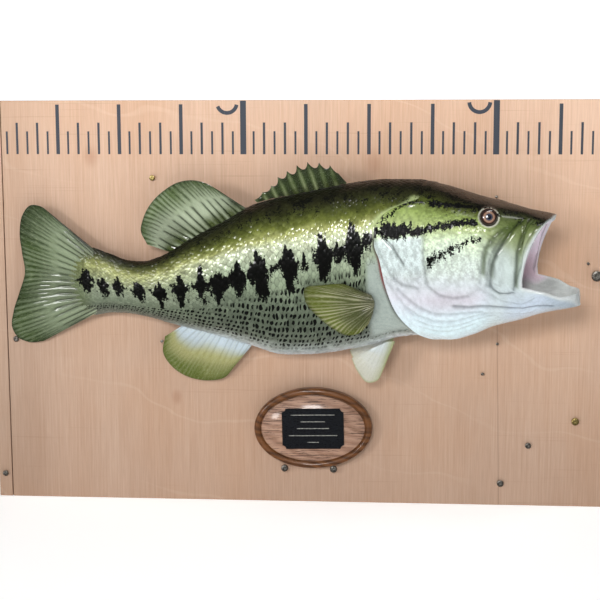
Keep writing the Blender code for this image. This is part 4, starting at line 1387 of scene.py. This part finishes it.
@dataclass(frozen=True)
class Fin:
    """One fin between its foot and its margin, both from front or top to rear or bottom."""

    name: str
    node: str
    slot: Slot
    paint: FinPaint
    base: Path
    margin: Path
    rays: int
    thick: Span = (3.6, 1.0)
    lean: Triple = (0.0, 1.0, 0.0)
    scallop: float = 0.0
    ridge: float = 0.7
    relief: float = 0.6
    branch: float = 0.45
    stray: float = 0.9
    wave: float = 0.8
    foot_depth: float = 0.05
    on_board: bool = False
    form: BassForm = FORM
    steps: int = 8
    along: int = 34

    def build(self, finish: Material) -> None:
        """Makes the fin as one closed plate with a ridge for each ray.

        Args:
            finish: Its material.
        """
        s, r = np.meshgrid(
            np.linspace(0, 1, self.rays * self.steps + 1), np.linspace(-self.foot_depth, 1, self.along),
            indexing="ij"
        )
        start, end = self.base(s), self.margin(s)
        phase = self.rays * s + self.stray * centred(Mottle(33)(s * self.rays * 0.7, r * 1.6))
        comb = 0.5 + 0.5 * np.cos(2 * np.pi * phase)
        split = 0.5 + 0.5 * np.cos(4 * np.pi * phase)
        ridge = (comb + (split - comb) * ease(self.branch, self.branch + 0.2, r)) ** self.ridge
        between = np.abs(2 * ((self.rays * s + 0.5) % 1) - 1)
        reach = 1 - self.scallop * (1 - (1 - between) ** 2.2) * ease(0.2, 1, r)
        points = start + (end - start) * (r * reach)[..., None]
        if self.on_board:
            points = np.array([[self.form.beside_board(u, h) for u, _, h in row] for row in points])
        lean, out = np.array(self.lean), np.clip(r, 0, 1)
        points = points + lean * (self.wave * np.sin(2 * np.pi * (1.3 * s + 0.4 * r)) * out)[..., None]
        rim = ease(1.01, 0.95, r) * ease(-0.004, 0.012, s) * ease(1.004, 0.988, s)
        half = (self.thick[0] + (self.thick[1] - self.thick[0]) * out**0.7) / 2
        half = half * (1 - self.relief + self.relief * ridge) * (0.25 + 0.75 * rim)
        sides = [self.form.place(points + sign * half[..., None] * lean) for sign in (1, -1)]
        index, far = np.arange(s.size).reshape(s.shape), s.size
        border = np.concatenate((index[:, 0], index[-1, 1:], index[-2::-1, -1], index[0, -2:0:-1]))
        after = np.roll(border, -1)
        edge = np.stack((border, after, after + far, border + far), -1)
        flat = grid_faces(*s.shape)
        values = {
            "paint": np.tile(self.colours(s, r, ridge).reshape(-1, 3), (2, 1)), "ray": np.tile(phase.ravel(), 2),
            "reach": np.tile(r.ravel(), 2),
        }
        shell = Shell(np.reshape(sides, (-1, 3)), np.concatenate((flat[:, ::-1], flat + far, edge)), values)
        shell.object(self.name, finish, self.slot, self.node)

    def colours(self, s: Array, r: Array, ridge: Array) -> Array:
        """The fin's paint by share along its foot and share out to its margin."""
        paint = self.paint
        cloud = Mottle(31)(s * self.rays * 0.45, r * 3.2)
        streak = Mottle(32)(s * self.rays * 2.1, r * 2.4)
        foot = np.broadcast_to(paint.foot, (*s.shape, 3))
        base = blend(foot, paint.middle, ease(*paint.bands[:2], r + 0.2 * centred(cloud)))
        base = blend(base, paint.edge, ease(*paint.bands[2:], r + 0.25 * centred(cloud)))
        strong = np.clip(paint.ray_share * (1.9 - ease(0.0, 0.35, r)), 0, 1)
        base = blend(base, paint.ray, ridge**2 * strong * ease(0.25, 0.8, 0.5 * streak + 0.5 * cloud))
        sunk = np.clip(paint.groove_share * (1.4 - 0.7 * r), 0, 1)
        base = blend(base, paint.groove, (1 - ease(0.0, 0.45, ridge)) * sunk)
        front = 1 - ease(0.0, paint.front_width, s + 0.04 * centred(cloud))
        base = blend(base, paint.groove, front * paint.front_share)
        base = blend(base, paint.groove, ease(0.93, 1.0, r) * 0.6)
        return base * (1 - paint.cloud * (1 - cloud) * ease(-0.1, 0.3, r))[..., None]


def all_fins(form: BassForm = FORM) -> list[Fin]:
    """The bass's eight fins, each on its own node."""

    def beside(points: Pairs) -> Path:
        """A path pressed between the flank and the board."""
        return Path(*[form.beside_board(u, h) for u, h in points])

    def foot(line: Line, lift: float, front: float, rear: float) -> Path:
        """A fin's foot along the back or the belly."""
        return midline([(u, line(u) + lift) for u in np.linspace(front, rear, 7)])

    fins = [
        Fin(
            "tail_fin", "fin_tail", Slot.FIN, TAIL,
            midline(((-251, 64), (-252.5, 45), (-252.5, 24), (-252, 4), (-251, -16))),
            midline((
                (-303, 107), (-316, 116), (-329, 117), (-340, 105), (-345, 85), (-343.5, 58), (-341, 33), (-349, 9),
                (-359, -18), (-362, -37), (-355, -50), (-340, -56), (-322, -54),
            )),
            rays=18, thick=(8.0, 0.9), foot_depth=0.02, branch=0.45, relief=0.5,
        ),
        Fin(
            "soft_back_fin", "fin_back_soft", Slot.FIN, OLIVE, foot(form.back, 1.0, -62, -157),
            midline((
                (-92, 138), (-108, 147), (-124, 150.5), (-141, 148), (-160, 137), (-177, 120), (-187, 101),
                (-190, 88), (-183, 71),
            )),
            rays=13,
        ),
        Fin(
            "spiny_back_fin", "fin_back_spiny", Slot.FIN, SPINY, foot(form.back, 1.0, 60, -47),
            midline((
                (50, 160), (42, 168), (28, 172), (5, 171), (-7, 164), (-19, 158), (-28, 146), (-41, 136), (-50, 127),
            )),
            rays=9, scallop=0.24, branch=2.0, ridge=2.5, thick=(3.6, 1.2), stray=0.0,
        ),
        Fin(
            "anal_fin", "fin_anal", Slot.PALE_FIN, ANAL, foot(form.belly, -1.0, -58, -145),
            midline(((-80, -82), (-94, -98), (-115, -102), (-137, -98), (-158, -84), (-169, -66), (-166, -45))),
            rays=13, relief=0.25,
        ),
        Fin(
            "near_breast_fin", "fin_breast_right", Slot.FIN, BREAST,
            Path((100, 62, 30), (102, 62.5, 22), (103, 61.5, 14), (103, 60, 6)),
            Path(
                (62, 68, 44.5), (36, 67, 42), (14, 64, 36), (14, 63, 24), (32, 63, 0), (50, 61, -14), (64, 59, -21),
                (82, 58, -19), (96, 57.5, -7),
            ),
            rays=14, thick=(2.2, 0.9), branch=0.3, ridge=1.6,
        ),
        Fin(
            "far_breast_fin", "fin_breast_left", Slot.FIN, BREAST, beside(((99, 28), (101, 21), (102, 14), (102, 7))),
            beside(((70, 16), (46, 5), (27, -7), (24, -17), (36, -30), (52, -38), (66, -39), (82, -32), (95, -14))),
            rays=12, thick=(1.1, 0.8), ridge=1.6, wave=0.0, on_board=True, foot_depth=0.0,
        ),
    ]
    for name, node, foot, splay, behind in (("near", "right", 15, 20, 0), ("far", "left", -13, -12, 6)):
        fins.append(Fin(
            f"{name}_belly_fin", f"fin_belly_{node}", Slot.PALE_FIN, BELLY,
            Path(*[(u - behind, foot, h) for u, h in ((118, -44.5), (108, -47.5), (98, -50), (89, -52))]),
            Path(*[(u - behind, splay, h) for u, h in ((105, -76), (97, -90), (86, -93), (73, -79), (66, -63))]),
            rays=6, thick=(2.6, 1.0), lean=(0.0, 1.0, 0.25), wave=0.4, foot_depth=0.12, relief=0.25,
        ))
    return fins


@dataclass(frozen=True)
class GlassEye:
    """A taxidermist's glass eye, painted behind, a little out of its socket."""

    side: Side
    form: BassForm = FORM
    radius: float = 10.6
    depth: float = 6.8
    far_shift: Triple = (0.0, 2.0, -5.0)
    around: int = 64
    rows: int = 40
    pole: float = 0.03

    def build(self, finish: Material) -> None:
        """Makes the eye, painted with distances from its axis."""
        mirror = np.array((1, self.side.value, 1))
        middle, axes = (part * mirror for part in self.form.eye_axes)
        name, node = "near_eye", "eye_right"
        if self.side is Side.FAR:
            middle, name, node = middle + self.far_shift, "far_eye", "eye_left"
        turn, tilts = full_turn(self.around), np.linspace(self.pole, np.pi - self.pole, self.rows)
        rings = []
        for tilt in tilts:
            side, out = self.radius * math.sin(tilt), self.depth * math.cos(tilt)
            local = np.stack((np.cos(turn) * side, np.full(self.around, out), np.sin(turn) * side), -1)
            rings.append(self.form.place(middle + local @ axes))
        shell = tube(np.array(rings))
        ring = np.where(tilts < np.pi / 2, self.radius * np.sin(tilts), self.radius)
        shell.values = {"ring": np.append(np.repeat(ring, self.around), (0.0, self.radius))}
        shell.object(name, finish, Slot.EYE, node)


@dataclass(frozen=True)
class Iris:
    """The eye's colours by distance from the axis, under clear glass."""

    name: str = "glass_iris"

    def make(self) -> Material:
        """Builds the material."""
        nodes = Nodes(self.name)
        streak = nodes.noise(nodes.place(), 900.0)
        ring = (nodes.value("ring") + (streak - 0.5) * 0.5) / 12.0
        stops = (
            (0.0, tone(10, 12, 20)), (0.2, tone(14, 18, 32)), (0.25, tone(74, 82, 104)), (0.31, tone(62, 42, 38)),
            (0.37, tone(156, 128, 112)), (0.5, tone(150, 116, 96)), (0.56, tone(66, 40, 32)),
            (0.72, tone(30, 20, 18)), (0.79, tone(60, 50, 42)),
        )
        ramp = nodes.add("ValToRGB", {"stops": stops}, ring)
        return nodes.finish(
            Base_Color=nodes.shade(ramp, 0.75 + 0.5 * streak), Roughness=0.12 + 0.08 * streak, Coat_Weight=1.0,
            Coat_Roughness=0.02, Normal=nodes.bump(streak, 0.0001),
        )


@dataclass(frozen=True)
class Tongue:
    """The flat, round-tipped tongue, with a shallow furrow."""

    form: BassForm = FORM
    start: float = 225.0
    end: float = 292.0
    height: float = 19.0
    half_width: float = 13.0
    half_thick: float = 3.0
    around: int = 40

    def build(self, finish: Material) -> None:
        """Makes the tongue."""
        turn = full_turn(self.around)
        rings, paint = [], []
        for share in np.linspace(0, 1, 40) ** 0.8:
            round_off = (1 - share**4) ** 0.5 + 0.06
            v, h = self.half_width * round_off * np.cos(turn), self.half_thick * round_off * np.sin(turn)
            furrow = 0.8 * bell(v, 2.4) * (np.sin(turn) > 0) * round_off
            u = np.full_like(turn, self.start + (self.end - self.start) * share)
            rings.append(self.form.place(np.stack((u, v, self.height + h - furrow), -1)))
            rose = np.broadcast_to(tone(196, 150, 148), (self.around, 3))
            paint.append(blend(rose, tone(214, 184, 180), Mottle(41)(v / 3, u / 4)))
        shell = tube(np.array(rings))
        shell.values = {key: np.zeros(len(shell.points)) for key in ("mark", "shine", "cheek", "dull", "glow")}
        shell.values["paint"] = with_ends(np.array(paint))
        shell.object("tongue_lining", finish, Slot.MOUTH, "tongue")


@dataclass(frozen=True)
class Plywood:
    """Clear-finished plywood: upright grain, a few knots, scuffs and plies at its edges."""

    name: str = "pale_plywood"
    light: Colour = tone(210, 180, 158)
    dark: Colour = tone(184, 148, 122)
    knots: Sequence[Triple] = ((-0.252, 0.182, 9.0), (0.095, 0.173, 12.0), (-0.15, -0.118, 6.0))
    seam: Span = (0.246, -0.024)

    def make(self) -> Material:
        """Builds the material."""
        nodes = Nodes(self.name)
        x, y, z = nodes.axes(nodes.place())
        figure = nodes.noise(nodes.place((14.0, 14.0, 2.2)), 1.0, 4.0)
        grain = nodes.noise(nodes.place((520.0, 90.0, 9.0)), 1.0, 5.0, 0.7)
        pores = nodes.noise(nodes.place((1500.0, 400.0, 40.0)), 1.0, 2.0)
        cloud = nodes.noise(nodes.place(), 5.0)
        saw = nodes.noise(nodes.place((5.0, 1.0, 420.0)), 1.0, 2.0)
        colour = nodes.mix((0.25 + 0.5 * figure + 0.9 * (grain - 0.5)).between(0.1, 0.95), self.light, self.dark)
        colour = nodes.mix((cloud - 0.45) * 0.9, colour, tone(206, 156, 116))
        colour = nodes.mix((saw - 0.64) * 2.2, colour, tone(150, 108, 82))
        for knot_x, knot_z, size in self.knots:
            wide, high = (x - knot_x) / (size * MM), (z - knot_z) / (1.5 * size * MM)
            off = (wide * wide + high * high) ** 0.5 + (figure - 0.5) * 0.8
            colour = nodes.mix((1 - off.between(0.2, 1.5)) * 0.3, colour, tone(150, 92, 58))
        colour = nodes.mix(self.scuffs(nodes, cloud) * 0.12, colour, tone(232, 212, 190))
        split = 1 - (x - self.seam[0] - z * self.seam[1]).size().between(0.0002, 0.0009)
        colour = nodes.mix(split * (0.05 - z).between(0.0, 0.1) * 0.4, colour, tone(120, 88, 70))
        plies = (y * 2100.0).sine().between(-0.2, 0.2)
        facing = nodes.axes(nodes.add("NewGeometry", {}, out=1))[1].size().between(0.5, 0.8)
        colour = nodes.mix((1 - facing) * plies * 0.45, colour, tone(122, 78, 50))
        # The base colour carries painted light: lighter high on the board, darker low down and at its left edge.
        return nodes.finish(
            Base_Color=nodes.shade(colour, (0.88 + 0.24 * pores) * self.painted_light_falloff(x, z)), Roughness=0.6 + 0.15 * grain,
            Specular_IOR_Level=0.3, Normal=nodes.bump(grain * 0.6 + pores * 0.4, 0.0003),
        )

    def scuffs(self, nodes: Nodes, cloud: Wire) -> Wire:
        """Where long thin scratches show, in some patches only."""
        bands = nodes.add(
            "TexWave", {"wave_type": "BANDS", "bands_direction": "DIAGONAL"}, out=1,
            Vector=nodes.place((1.0, 1.0, 2.6)), Scale=2.1, Distortion=7.0, Detail=3.0, Detail_Scale=1.4,
        )
        return bands.between(0.992, 1.0) * (cloud - 0.35).between(0.0, 0.3)

    def painted_light_falloff(self, x: Wire, z: Wire) -> Wire:
        """Painted light: the board made lighter towards the top and upper right, and darker low down and towards its
        left edge.
        """
        upward = 0.96 + z * 0.75 + z.between(-0.02, 0.2) * 0.1 + x * (z + 0.2) * 0.5
        return upward * (0.86 + 0.14 * x.between(-0.36, -0.27))


@dataclass(frozen=True)
class Oak:
    """Varnished oak with long open pores, dark on the plaque's bead."""

    name: str = "varnished_oak"
    figure: tuple[Colour, Colour] = (tone(182, 146, 124), tone(132, 96, 76))
    pore: Colour = tone(58, 36, 30)
    bead: tuple[Colour, Colour] = (tone(120, 74, 36), tone(50, 28, 13))

    def make(self) -> Material:
        """Builds the material."""
        nodes = Nodes(self.name)
        bend = nodes.noise(nodes.place((9.0, 9.0, 30.0)), 1.0, 3.0)
        x, _, z = nodes.axes(nodes.place())
        band = ((z + x * 0.3 + bend * 0.05) * 560.0).sine() * 0.5 + 0.5
        pores = nodes.noise(nodes.place((40.0, 300.0, 620.0)), 1.0, 4.0, 0.75)
        colour = nodes.mix(band * 0.6, *self.figure)
        colour = nodes.mix(pores.between(0.49, 0.62) * 0.85, colour, self.pore)
        rim = nodes.mix(band * 0.6 + pores * 0.3, *self.bead)
        return nodes.finish(
            Base_Color=nodes.mix(nodes.value("bead") * 0.95, colour, rim), Roughness=0.28 + 0.2 * pores,
            Specular_IOR_Level=0.25, Coat_Weight=0.4, Coat_Roughness=0.12, Normal=nodes.bump(1 - pores, 0.0003),
        )


@dataclass(frozen=True)
class Metal:
    """Turned or pressed metal, dulled and scratched with age."""

    name: str
    bright: Colour
    dull: Colour
    roughness: float = 0.32
    metallic: float = 1.0

    def make(self) -> Material:
        """Builds the material."""
        nodes = Nodes(self.name)
        age = nodes.noise(nodes.place(), 500.0)
        brushed = nodes.noise(nodes.place((1.0, 1.0, 16.0)), 260.0)
        return nodes.finish(
            Base_Color=nodes.mix(age.between(0.35, 0.7), self.bright, self.dull), Metallic=self.metallic,
            Roughness=self.roughness + 0.25 * brushed, Normal=nodes.bump(age * 0.5 + brushed * 0.5, 0.0001),
        )


@dataclass(frozen=True)
class BoardPaint:
    """Flat slate-blue paint on bare wood, thin along the grain."""

    name: str = "slate_paint"
    full: Colour = tone(60, 66, 78)
    thin: Colour = tone(104, 102, 104)

    def make(self) -> Material:
        """Builds the material."""
        nodes = Nodes(self.name)
        grain = nodes.noise(nodes.place((520.0, 90.0, 14.0)), 1.0, 4.0, 0.7)
        return nodes.finish(
            Base_Color=nodes.mix(grain.between(0.55, 0.8) * 0.7, self.full, self.thin), Roughness=0.55 + 0.2 * grain,
            Normal=nodes.bump(grain, 0.0002),
        )


def panel(low: Sequence[float], high: Sequence[float], round_off: float) -> Shell:
    """A closed panel between two corners, its edges rounded.

    Args:
        low: The lowest corner.
        high: The highest corner.
        round_off: The edges' radius.

    Returns:
        The panel's shell, in metres.
    """
    (x0, y0, z0), (x1, y1, z1) = low, high
    turns = np.linspace(0, np.pi / 2, 4)
    profile = [(round_off * math.sin(a), y1 - round_off * (1 - math.cos(a))) for a in turns]
    profile += [(round_off * math.cos(a), y0 + round_off * (1 - math.sin(a))) for a in turns]
    left, right, low_edge, high_edge = x0 + round_off, x1 - round_off, z0 + round_off, z1 - round_off
    middles = ((right, high_edge), (left, high_edge), (left, low_edge), (right, low_edge))
    rings = [
        [
            (x + reach * math.cos(a + quarter * math.pi / 2), y, z + reach * math.sin(a + quarter * math.pi / 2))
            for quarter, (x, z) in enumerate(middles)
            for a in turns
        ]
        for reach, y in profile
    ]
    shell = tube(np.array(rings) * MM)
    shell.flat_ends = True
    return shell


def joined(shells: Sequence[Shell]) -> Shell:
    """Several shells as one piece."""
    starts = np.cumsum([0] + [len(shell.points) for shell in shells[:-1]])
    faces = np.concatenate([outward(shell.points, shell.faces) + start for shell, start in zip(shells, starts)])
    return Shell(np.concatenate([shell.points for shell in shells]), faces)


@dataclass(frozen=True)
class Board:
    """The plywood panel, the strip beside it and the ruler marks."""

    width: float = 760.0
    height: float = 500.0
    strip: float = 16.5
    joint: float = 0.9
    edge: float = 0.8
    paint_thick: float = 0.12
    first_mark: float = -355.5
    half_inch: float = 12.7
    marks: int = 58
    baseline: float = 184.7
    foot_mark: Span = (7.2, 249.2)
    quarter_mark: Span = (4.4, 245.0)
    inch_mark: Span = (2.8, 223.0)
    half_mark: Span = (2.4, 212.5)
    numerals: Sequence[tuple[float, ...]] = ((-83, 246.5, 12, 200, 350, 16), (221, 247.5, 12.5, 184, 356, 18))
    numeral_width: float = 4.6

    def build(self, wood: Material, paint: Material) -> None:
        """Makes both panels and the marks."""
        half, top = self.width / 2, self.height / 2
        seam = self.strip - half
        for name, node, left, right in (
            ("plywood_panel", "board", seam + self.joint, half), ("plywood_strip", "board_strip", -half, seam),
        ):
            shell = panel((left, -BOARD_THICK, -top), (right, 0, top), self.edge)
            shell.object(name, wood, Slot.PLYWOOD, node)
        strips = []
        for k in range(self.marks):
            x = self.first_mark + self.half_inch * k
            if k % 24 == 23:
                wide, end = self.foot_mark
            elif k % 6 == 5:
                wide, end = self.quarter_mark
            else:
                wide, end = self.inch_mark if k % 2 else self.half_mark
            strips.append(self.strip_of([(x, self.baseline), (x, end)], wide))
        for x, z, radius, start, finish, steps in self.numerals:
            turns = np.radians(np.linspace(start, finish, steps))
            bowl = [(x + radius * math.cos(a), z + radius * math.sin(a)) for a in turns]
            strips.append(self.strip_of(bowl, self.numeral_width))
        joined(strips).object("ruler_marks", paint, Slot.PLYWOOD)

    def strip_of(self, track: Pairs, wide: float) -> Shell:
        """A thin painted stroke, ended at the board's top edge."""
        track = np.array(track)
        way = np.gradient(track, axis=0)
        way /= np.linalg.norm(way, axis=1, keepdims=True)
        across = np.stack((-way[:, 1], way[:, 0]), -1) * wide / 2
        left, right = track + across, track - across
        for side in (left, right):
            side[:, 1] = np.minimum(side[:, 1], self.height / 2 - self.edge)
        front, back = -BOARD_THICK - self.paint_thick, 0.2 - BOARD_THICK
        rings = [[(a, front, b), (c, front, d), (c, back, d), (a, back, b)] for (a, b), (c, d) in zip(left, right)]
        return tube(np.array(rings) * MM)


@dataclass(frozen=True)
class Plaque:
    """The oval oak plaque, and its plate with blank rules."""

    centre: Span = (21.8, -152.3)
    half: Span = (73.0, 50.5)
    thick: float = 17.0
    flat_thick: float = 15.5
    bead: float = 8.0
    bead_height: float = 3.5
    quirk: float = 0.9
    tilt: float = 1.1
    plate: Span = (76.5, 51.0)
    plate_thick: float = 0.9
    bevel: float = 0.25
    notch: float = 4.5
    gap: float = 0.3
    rules: Pairs = ((17.5, 27), (9.0, 15), (0.5, 20), (-8.5, 30), (-17.0, 7))
    rule_half: float = 0.45
    around: int = 120

    def put(self, points: Array) -> Array:
        """Points (x, off the board, z) from the plaque's middle, tilted."""
        x, off, z = np.moveaxis(np.asarray(points, float), -1, 0)
        turn = math.radians(self.tilt)
        across, up = x * math.cos(turn) - z * math.sin(turn), x * math.sin(turn) + z * math.cos(turn)
        return np.stack((across + self.centre[0], -BOARD_THICK - off, up + self.centre[1]), -1) * MM

    def build(self, oak: Material, black: Material, silver: Material) -> None:
        """Makes the plaque, its plate and the plate's rules."""
        turn = full_turn(self.around)
        flat, foot = self.flat_thick, self.flat_thick - self.quirk
        profile = [(3, self.gap, 1), (0.6, 2.5, 1), (0, 6, 1)]
        for a in np.linspace(0, np.pi, 14):
            out = self.thick - self.bead_height * (1 - math.sin(a))
            profile.append((self.bead / 2 * (1 - math.cos(a)), out, 1))
        profile += [(self.bead, foot, 1), (self.bead + 0.8, foot, 1), (self.bead + 1.4, flat, 0)]
        profile.append((self.half[1] - 6, flat, 0))
        insets, offs, rims = np.array(profile, float).T[..., None]
        x, z = (self.half[0] - insets) * np.cos(turn), (self.half[1] - insets) * np.sin(turn)
        shell = tube(self.put(np.stack((x, offs + 0 * x, z), -1)))
        shell.values = {"bead": np.append(np.repeat(rims, self.around), (1.0, 0.0))}
        shell.object("plaque_oak", oak, Slot.OAK, "plaque")
        low = self.flat_thick + self.gap
        high = low + self.plate_thick
        levels = ((0, low), (0, high - self.bevel), (self.bevel, high))
        plate = tube(self.put([[(x, off, z) for x, z in self.corners(inset)] for inset, off in levels]))
        plate.flat_ends = True
        plate.object("name_plate", black, Slot.PLATE, "nameplate")
        shells = [self.rule(half, z, high) for z, half in self.rules]
        joined(shells).object("plate_rules", silver, Slot.PLATE)

    def rule(self, half: float, middle: float, off: float) -> Shell:
        """One engraved rule, standing a hair off the plate."""
        low, high = middle - self.rule_half, middle + self.rule_half
        section = ((off - 0.1, low), (off - 0.1, high), (off + 0.06, high), (off + 0.06, low))
        return tube(self.put([[(x, y, z) for y, z in section] for x in (-half, half)]))

    def corners(self, inset: float) -> list[Span]:
        """The plate's outline with a hollow notch at each corner."""
        (x, z), notch = (side / 2 - inset for side in self.plate), self.notch
        quarter = [(x - notch * math.sin(a), z - notch * math.cos(a)) for a in np.linspace(0, math.pi / 2, 9)]
        found = quarter + [(-a, b) for a, b in quarter[::-1]]
        return found + [(-a, -b) for a, b in quarter] + [(a, -b) for a, b in quarter[::-1]]


class Head(Enum):
    """The kinds of fastening left in the board."""

    SCREW = "screw"
    NAIL = "nail"


@dataclass(frozen=True)
class Fastening:
    """A screw with a crossed recess, or a plain nail."""

    name: str
    place: Span
    radius: float
    thick: float
    stand_off: float
    shank: float = 0.45
    thread: float = 0.16
    gap: float = 0.3
    around: int = 32

    def build(self, finish: Material, slot: Slot) -> None:
        """Makes the fastening in place of its node."""
        kind = Head.NAIL if self.name.startswith("nail") else Head.SCREW
        r, thick, low = self.radius, self.thick, self.stand_off
        top = low + thick
        turn = full_turn(self.around)
        profile = [
            (r * self.shank * (1 - self.thread * (k % 2)), self.gap + (low - self.gap) * k / 8, 0) for k in range(9)
        ]
        profile += [(r, low, 0), (r, top - 0.5 * thick, 0), (r * 0.9, top - 0.1 * thick, 0), (r * 0.6, top, 0)]
        if kind is Head.SCREW:
            floor = top - thick * 0.7
            profile += [(r * 0.5, top - 0.1, 1), (r * 0.44, floor + thick * 0.1, 1), (r * 0.1, floor, 0)]
        else:
            profile.append((r * 0.2, top - 0.05, 0))
        radius, off, cross = np.array(profile, float).T[..., None]
        reach = radius * (1 - cross * 0.55 * np.abs(np.sin(2 * turn + 0.6)) ** 0.7)
        x, z = self.place[0] + reach * np.cos(turn), self.place[1] + reach * np.sin(turn)
        rings = np.stack((x, -BOARD_THICK - off + 0 * x, z), -1) * MM
        tube(rings).object(f"{self.name}_head", finish, slot, self.name)


FASTENINGS = tuple(Fastening(*row) for row in (
    ("screw_plaque_left", (-14.0, -204.6), 4.4, 2.6, 9.0), ("screw_plaque_right", (46.8, -204.9), 4.4, 2.6, 9.0),
    ("screw_brass_upper", (-175.6, 156.0), 3.4, 1.8, 3.0), ("screw_brass_right", (343.3, -141.7), 4.6, 2.0, 2.0),
    ("screw_grey_bottom", (253.5, -221.5), 4.2, 2.0, 2.0), ("screw_grey_lower", (286.6, -172.9), 3.8, 2.0, 2.0),
    ("screw_tail", (-351.8, -45.7), 3.6, 2.0, 2.0), ("screw_corner", (-371.2, -219.5), 3.6, 2.0, 2.0),
    ("screw_washer", (364.6, 38.5), 6.4, 1.6, 2.0), ("nail_brow", (242.5, 134.0), 1.8, 1.0, 3.0),
    ("nail_throat", (246.8, -45.7), 1.8, 1.0, 3.0), ("nail_black", (229.5, -83.6), 2.0, 1.0, 2.0),
    ("nail_wire", (-166.7, -46.2), 1.8, 1.0, 6.0), ("nail_washer", (353.3, 54.1), 1.8, 1.0, 6.0),
))


@dataclass(frozen=True)
class Softbox:
    """One soft light, in metres and watts."""

    name: str
    place: Triple
    aim: Triple
    size: Span
    power: float

    def build(self) -> None:
        """Hangs the light."""
        lamp = bpy.data.lights.new(self.name, "AREA")
        lamp.shape, lamp.size, lamp.size_y = "RECTANGLE", *self.size
        lamp.energy = self.power
        made = in_scene(self.name, lamp)
        made.location = self.place
        made.rotation_euler = (Vector(self.aim) - Vector(self.place)).to_track_quat("-Z", "Y").to_euler()


LIGHTS = (
    Softbox("key", (-0.17, -2.38, 0.78), (0.0, 0.0, 0.0), (0.5, 0.4), 23.0),
    Softbox("left", (-2.13, -2.8, 0.63), (0.0, 0.0, 0.0), (0.7, 0.6), 32.0),
    Softbox("overhead", (0.45, -0.6, 1.45), (0.1, -0.05, 0.05), (1.2, 0.2), 6.0),
)


@dataclass(frozen=True)
class Studio:
    """The pale room, its lights and the camera."""

    camera: Triple = (0.134, -1.711, 0.2635)
    pitch: float = 8.59
    turn: float = 4.34
    roll: float = 0.17
    lens: float = 84.0
    room: float = 12.0
    ambient: float = 0.09
    pale: Colour = (0.9, 0.9, 0.9)
    near_glow: Colour = (0.52, 0.52, 0.52)
    glow_reach: Span = (0.8, 2.5)

    def build(self) -> None:
        """Makes the backdrop, the world, the lights and the camera."""
        scene = bpy.context.scene
        scene.view_settings.view_transform = "Standard"
        world = bpy.data.worlds.new("studio_world")
        world.use_nodes = True
        sky = world.node_tree.nodes["Background"].inputs
        sky[0].default_value, sky[1].default_value = (1, 1, 1, 1), self.ambient
        scene.world = world
        self.backdrop()
        for light in LIGHTS:
            light.build()
        self.aim_camera()

    def backdrop(self) -> None:
        """The floor, and a white surround that only the camera sees."""
        low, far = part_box("board")[0][2], self.room
        corners = [(x, y, z) for z in (low, far) for x, y in ((-far, -far), (far, -far), (far, far), (-far, far))]
        walls = [(k, (k + 1) % 4, (k + 1) % 4 + 4, k + 4) for k in range(4)]
        floor = self.sheet("floor", corners, [(0, 1, 2, 3)], self.paper())
        surround = self.sheet("surround", corners, [*walls, (4, 5, 6, 7)], self.white())
        floor.visible_glossy = surround.visible_glossy = False
        surround.visible_diffuse = surround.visible_shadow = False

    def sheet(self, name: str, corners: list[Triple], faces: list[tuple[int, ...]], finish: Material) -> Piece:
        """Adds flat faces that belong to the studio.

        Args:
            name: The piece's name.
            corners: All its corners, in metres.
            faces: The corners of each face.
            finish: Its material.

        Returns:
            The new object.
        """
        mesh = bpy.data.meshes.new(name)
        mesh.from_pydata(corners, [], faces)
        mesh.materials.append(finish)
        made = in_scene(name, mesh)
        return made

    def paper(self) -> Material:
        """Pale studio paper that glows, more where the lights don't reach."""
        nodes = Nodes("studio_paper")
        x, y, _ = nodes.axes(nodes.place())
        far = ((x * x + y * y) ** 0.5).between(*self.glow_reach)
        return nodes.finish(
            Base_Color=self.pale, Emission_Color=nodes.mix(far, self.near_glow, self.pale), Emission_Strength=1.0,
            Roughness=0.8 + 0.1 * nodes.noise(nodes.place(), 8.0),
        )

    def white(self) -> Material:
        """The surround's plain glow."""
        return Nodes("studio_white").finish(
            Base_Color=self.pale, Emission_Color=(1.0, 1.0, 1.0), Emission_Strength=1.0
        )

    def aim_camera(self) -> None:
        """Sets the camera at its place, looking a little down and to the left."""
        pitch, turn, roll = (math.radians(a) for a in (self.pitch, self.turn, self.roll))
        ahead = Vector((-math.sin(turn) * math.cos(pitch), math.cos(turn) * math.cos(pitch), -math.sin(pitch)))
        right = Vector((math.cos(turn), math.sin(turn), 0))
        up = right.cross(ahead)
        across = right * math.cos(roll) - up * math.sin(roll)
        rise = up * math.cos(roll) + right * math.sin(roll)
        data = bpy.data.cameras.new("camera")
        data.lens, data.sensor_width = self.lens, 36.0
        made = in_scene("camera", data)
        made.matrix_world = Matrix((across, rise, -ahead)).transposed().to_4x4()
        made.location = self.camera
        bpy.context.scene.camera = made


def main() -> None:
    """Builds the mounted bass around its solids, then the studio."""
    logging.basicConfig(level=logging.INFO, format="%(name)s: %(message)s")
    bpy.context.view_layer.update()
    hide, coat, web, iris = Hide().make(), ScaleCoat().make(), FinWeb().make(), Iris().make()
    Skin().build(hide)
    for side in Side:
        Scales(side).build(coat)
        GlassEye(side).build(iris)
    Tongue().build(hide)
    for fin in all_fins():
        fin.build(web)
    Board().build(Plywood().make(), BoardPaint().make())
    black = Metal("black_plate", tone(8, 10, 15), tone(16, 19, 26), 0.18, 0.0).make()
    silver = Metal("silver_fill", tone(190, 190, 182), tone(140, 140, 136), 0.4, 0.6).make()
    Plaque().build(Oak().make(), black, silver)
    steel = Metal("aged_steel", tone(168, 164, 156), tone(92, 84, 76)).make()
    brass = Metal("aged_brass", tone(214, 196, 130), tone(132, 108, 60)).make()
    for fastening in FASTENINGS:
        is_brass = "brass" in fastening.name
        fastening.build(brass if is_brass else steel, Slot.BRASS if is_brass else Slot.STEEL)
    Studio().build()


if __name__ == "__main__":
    main()
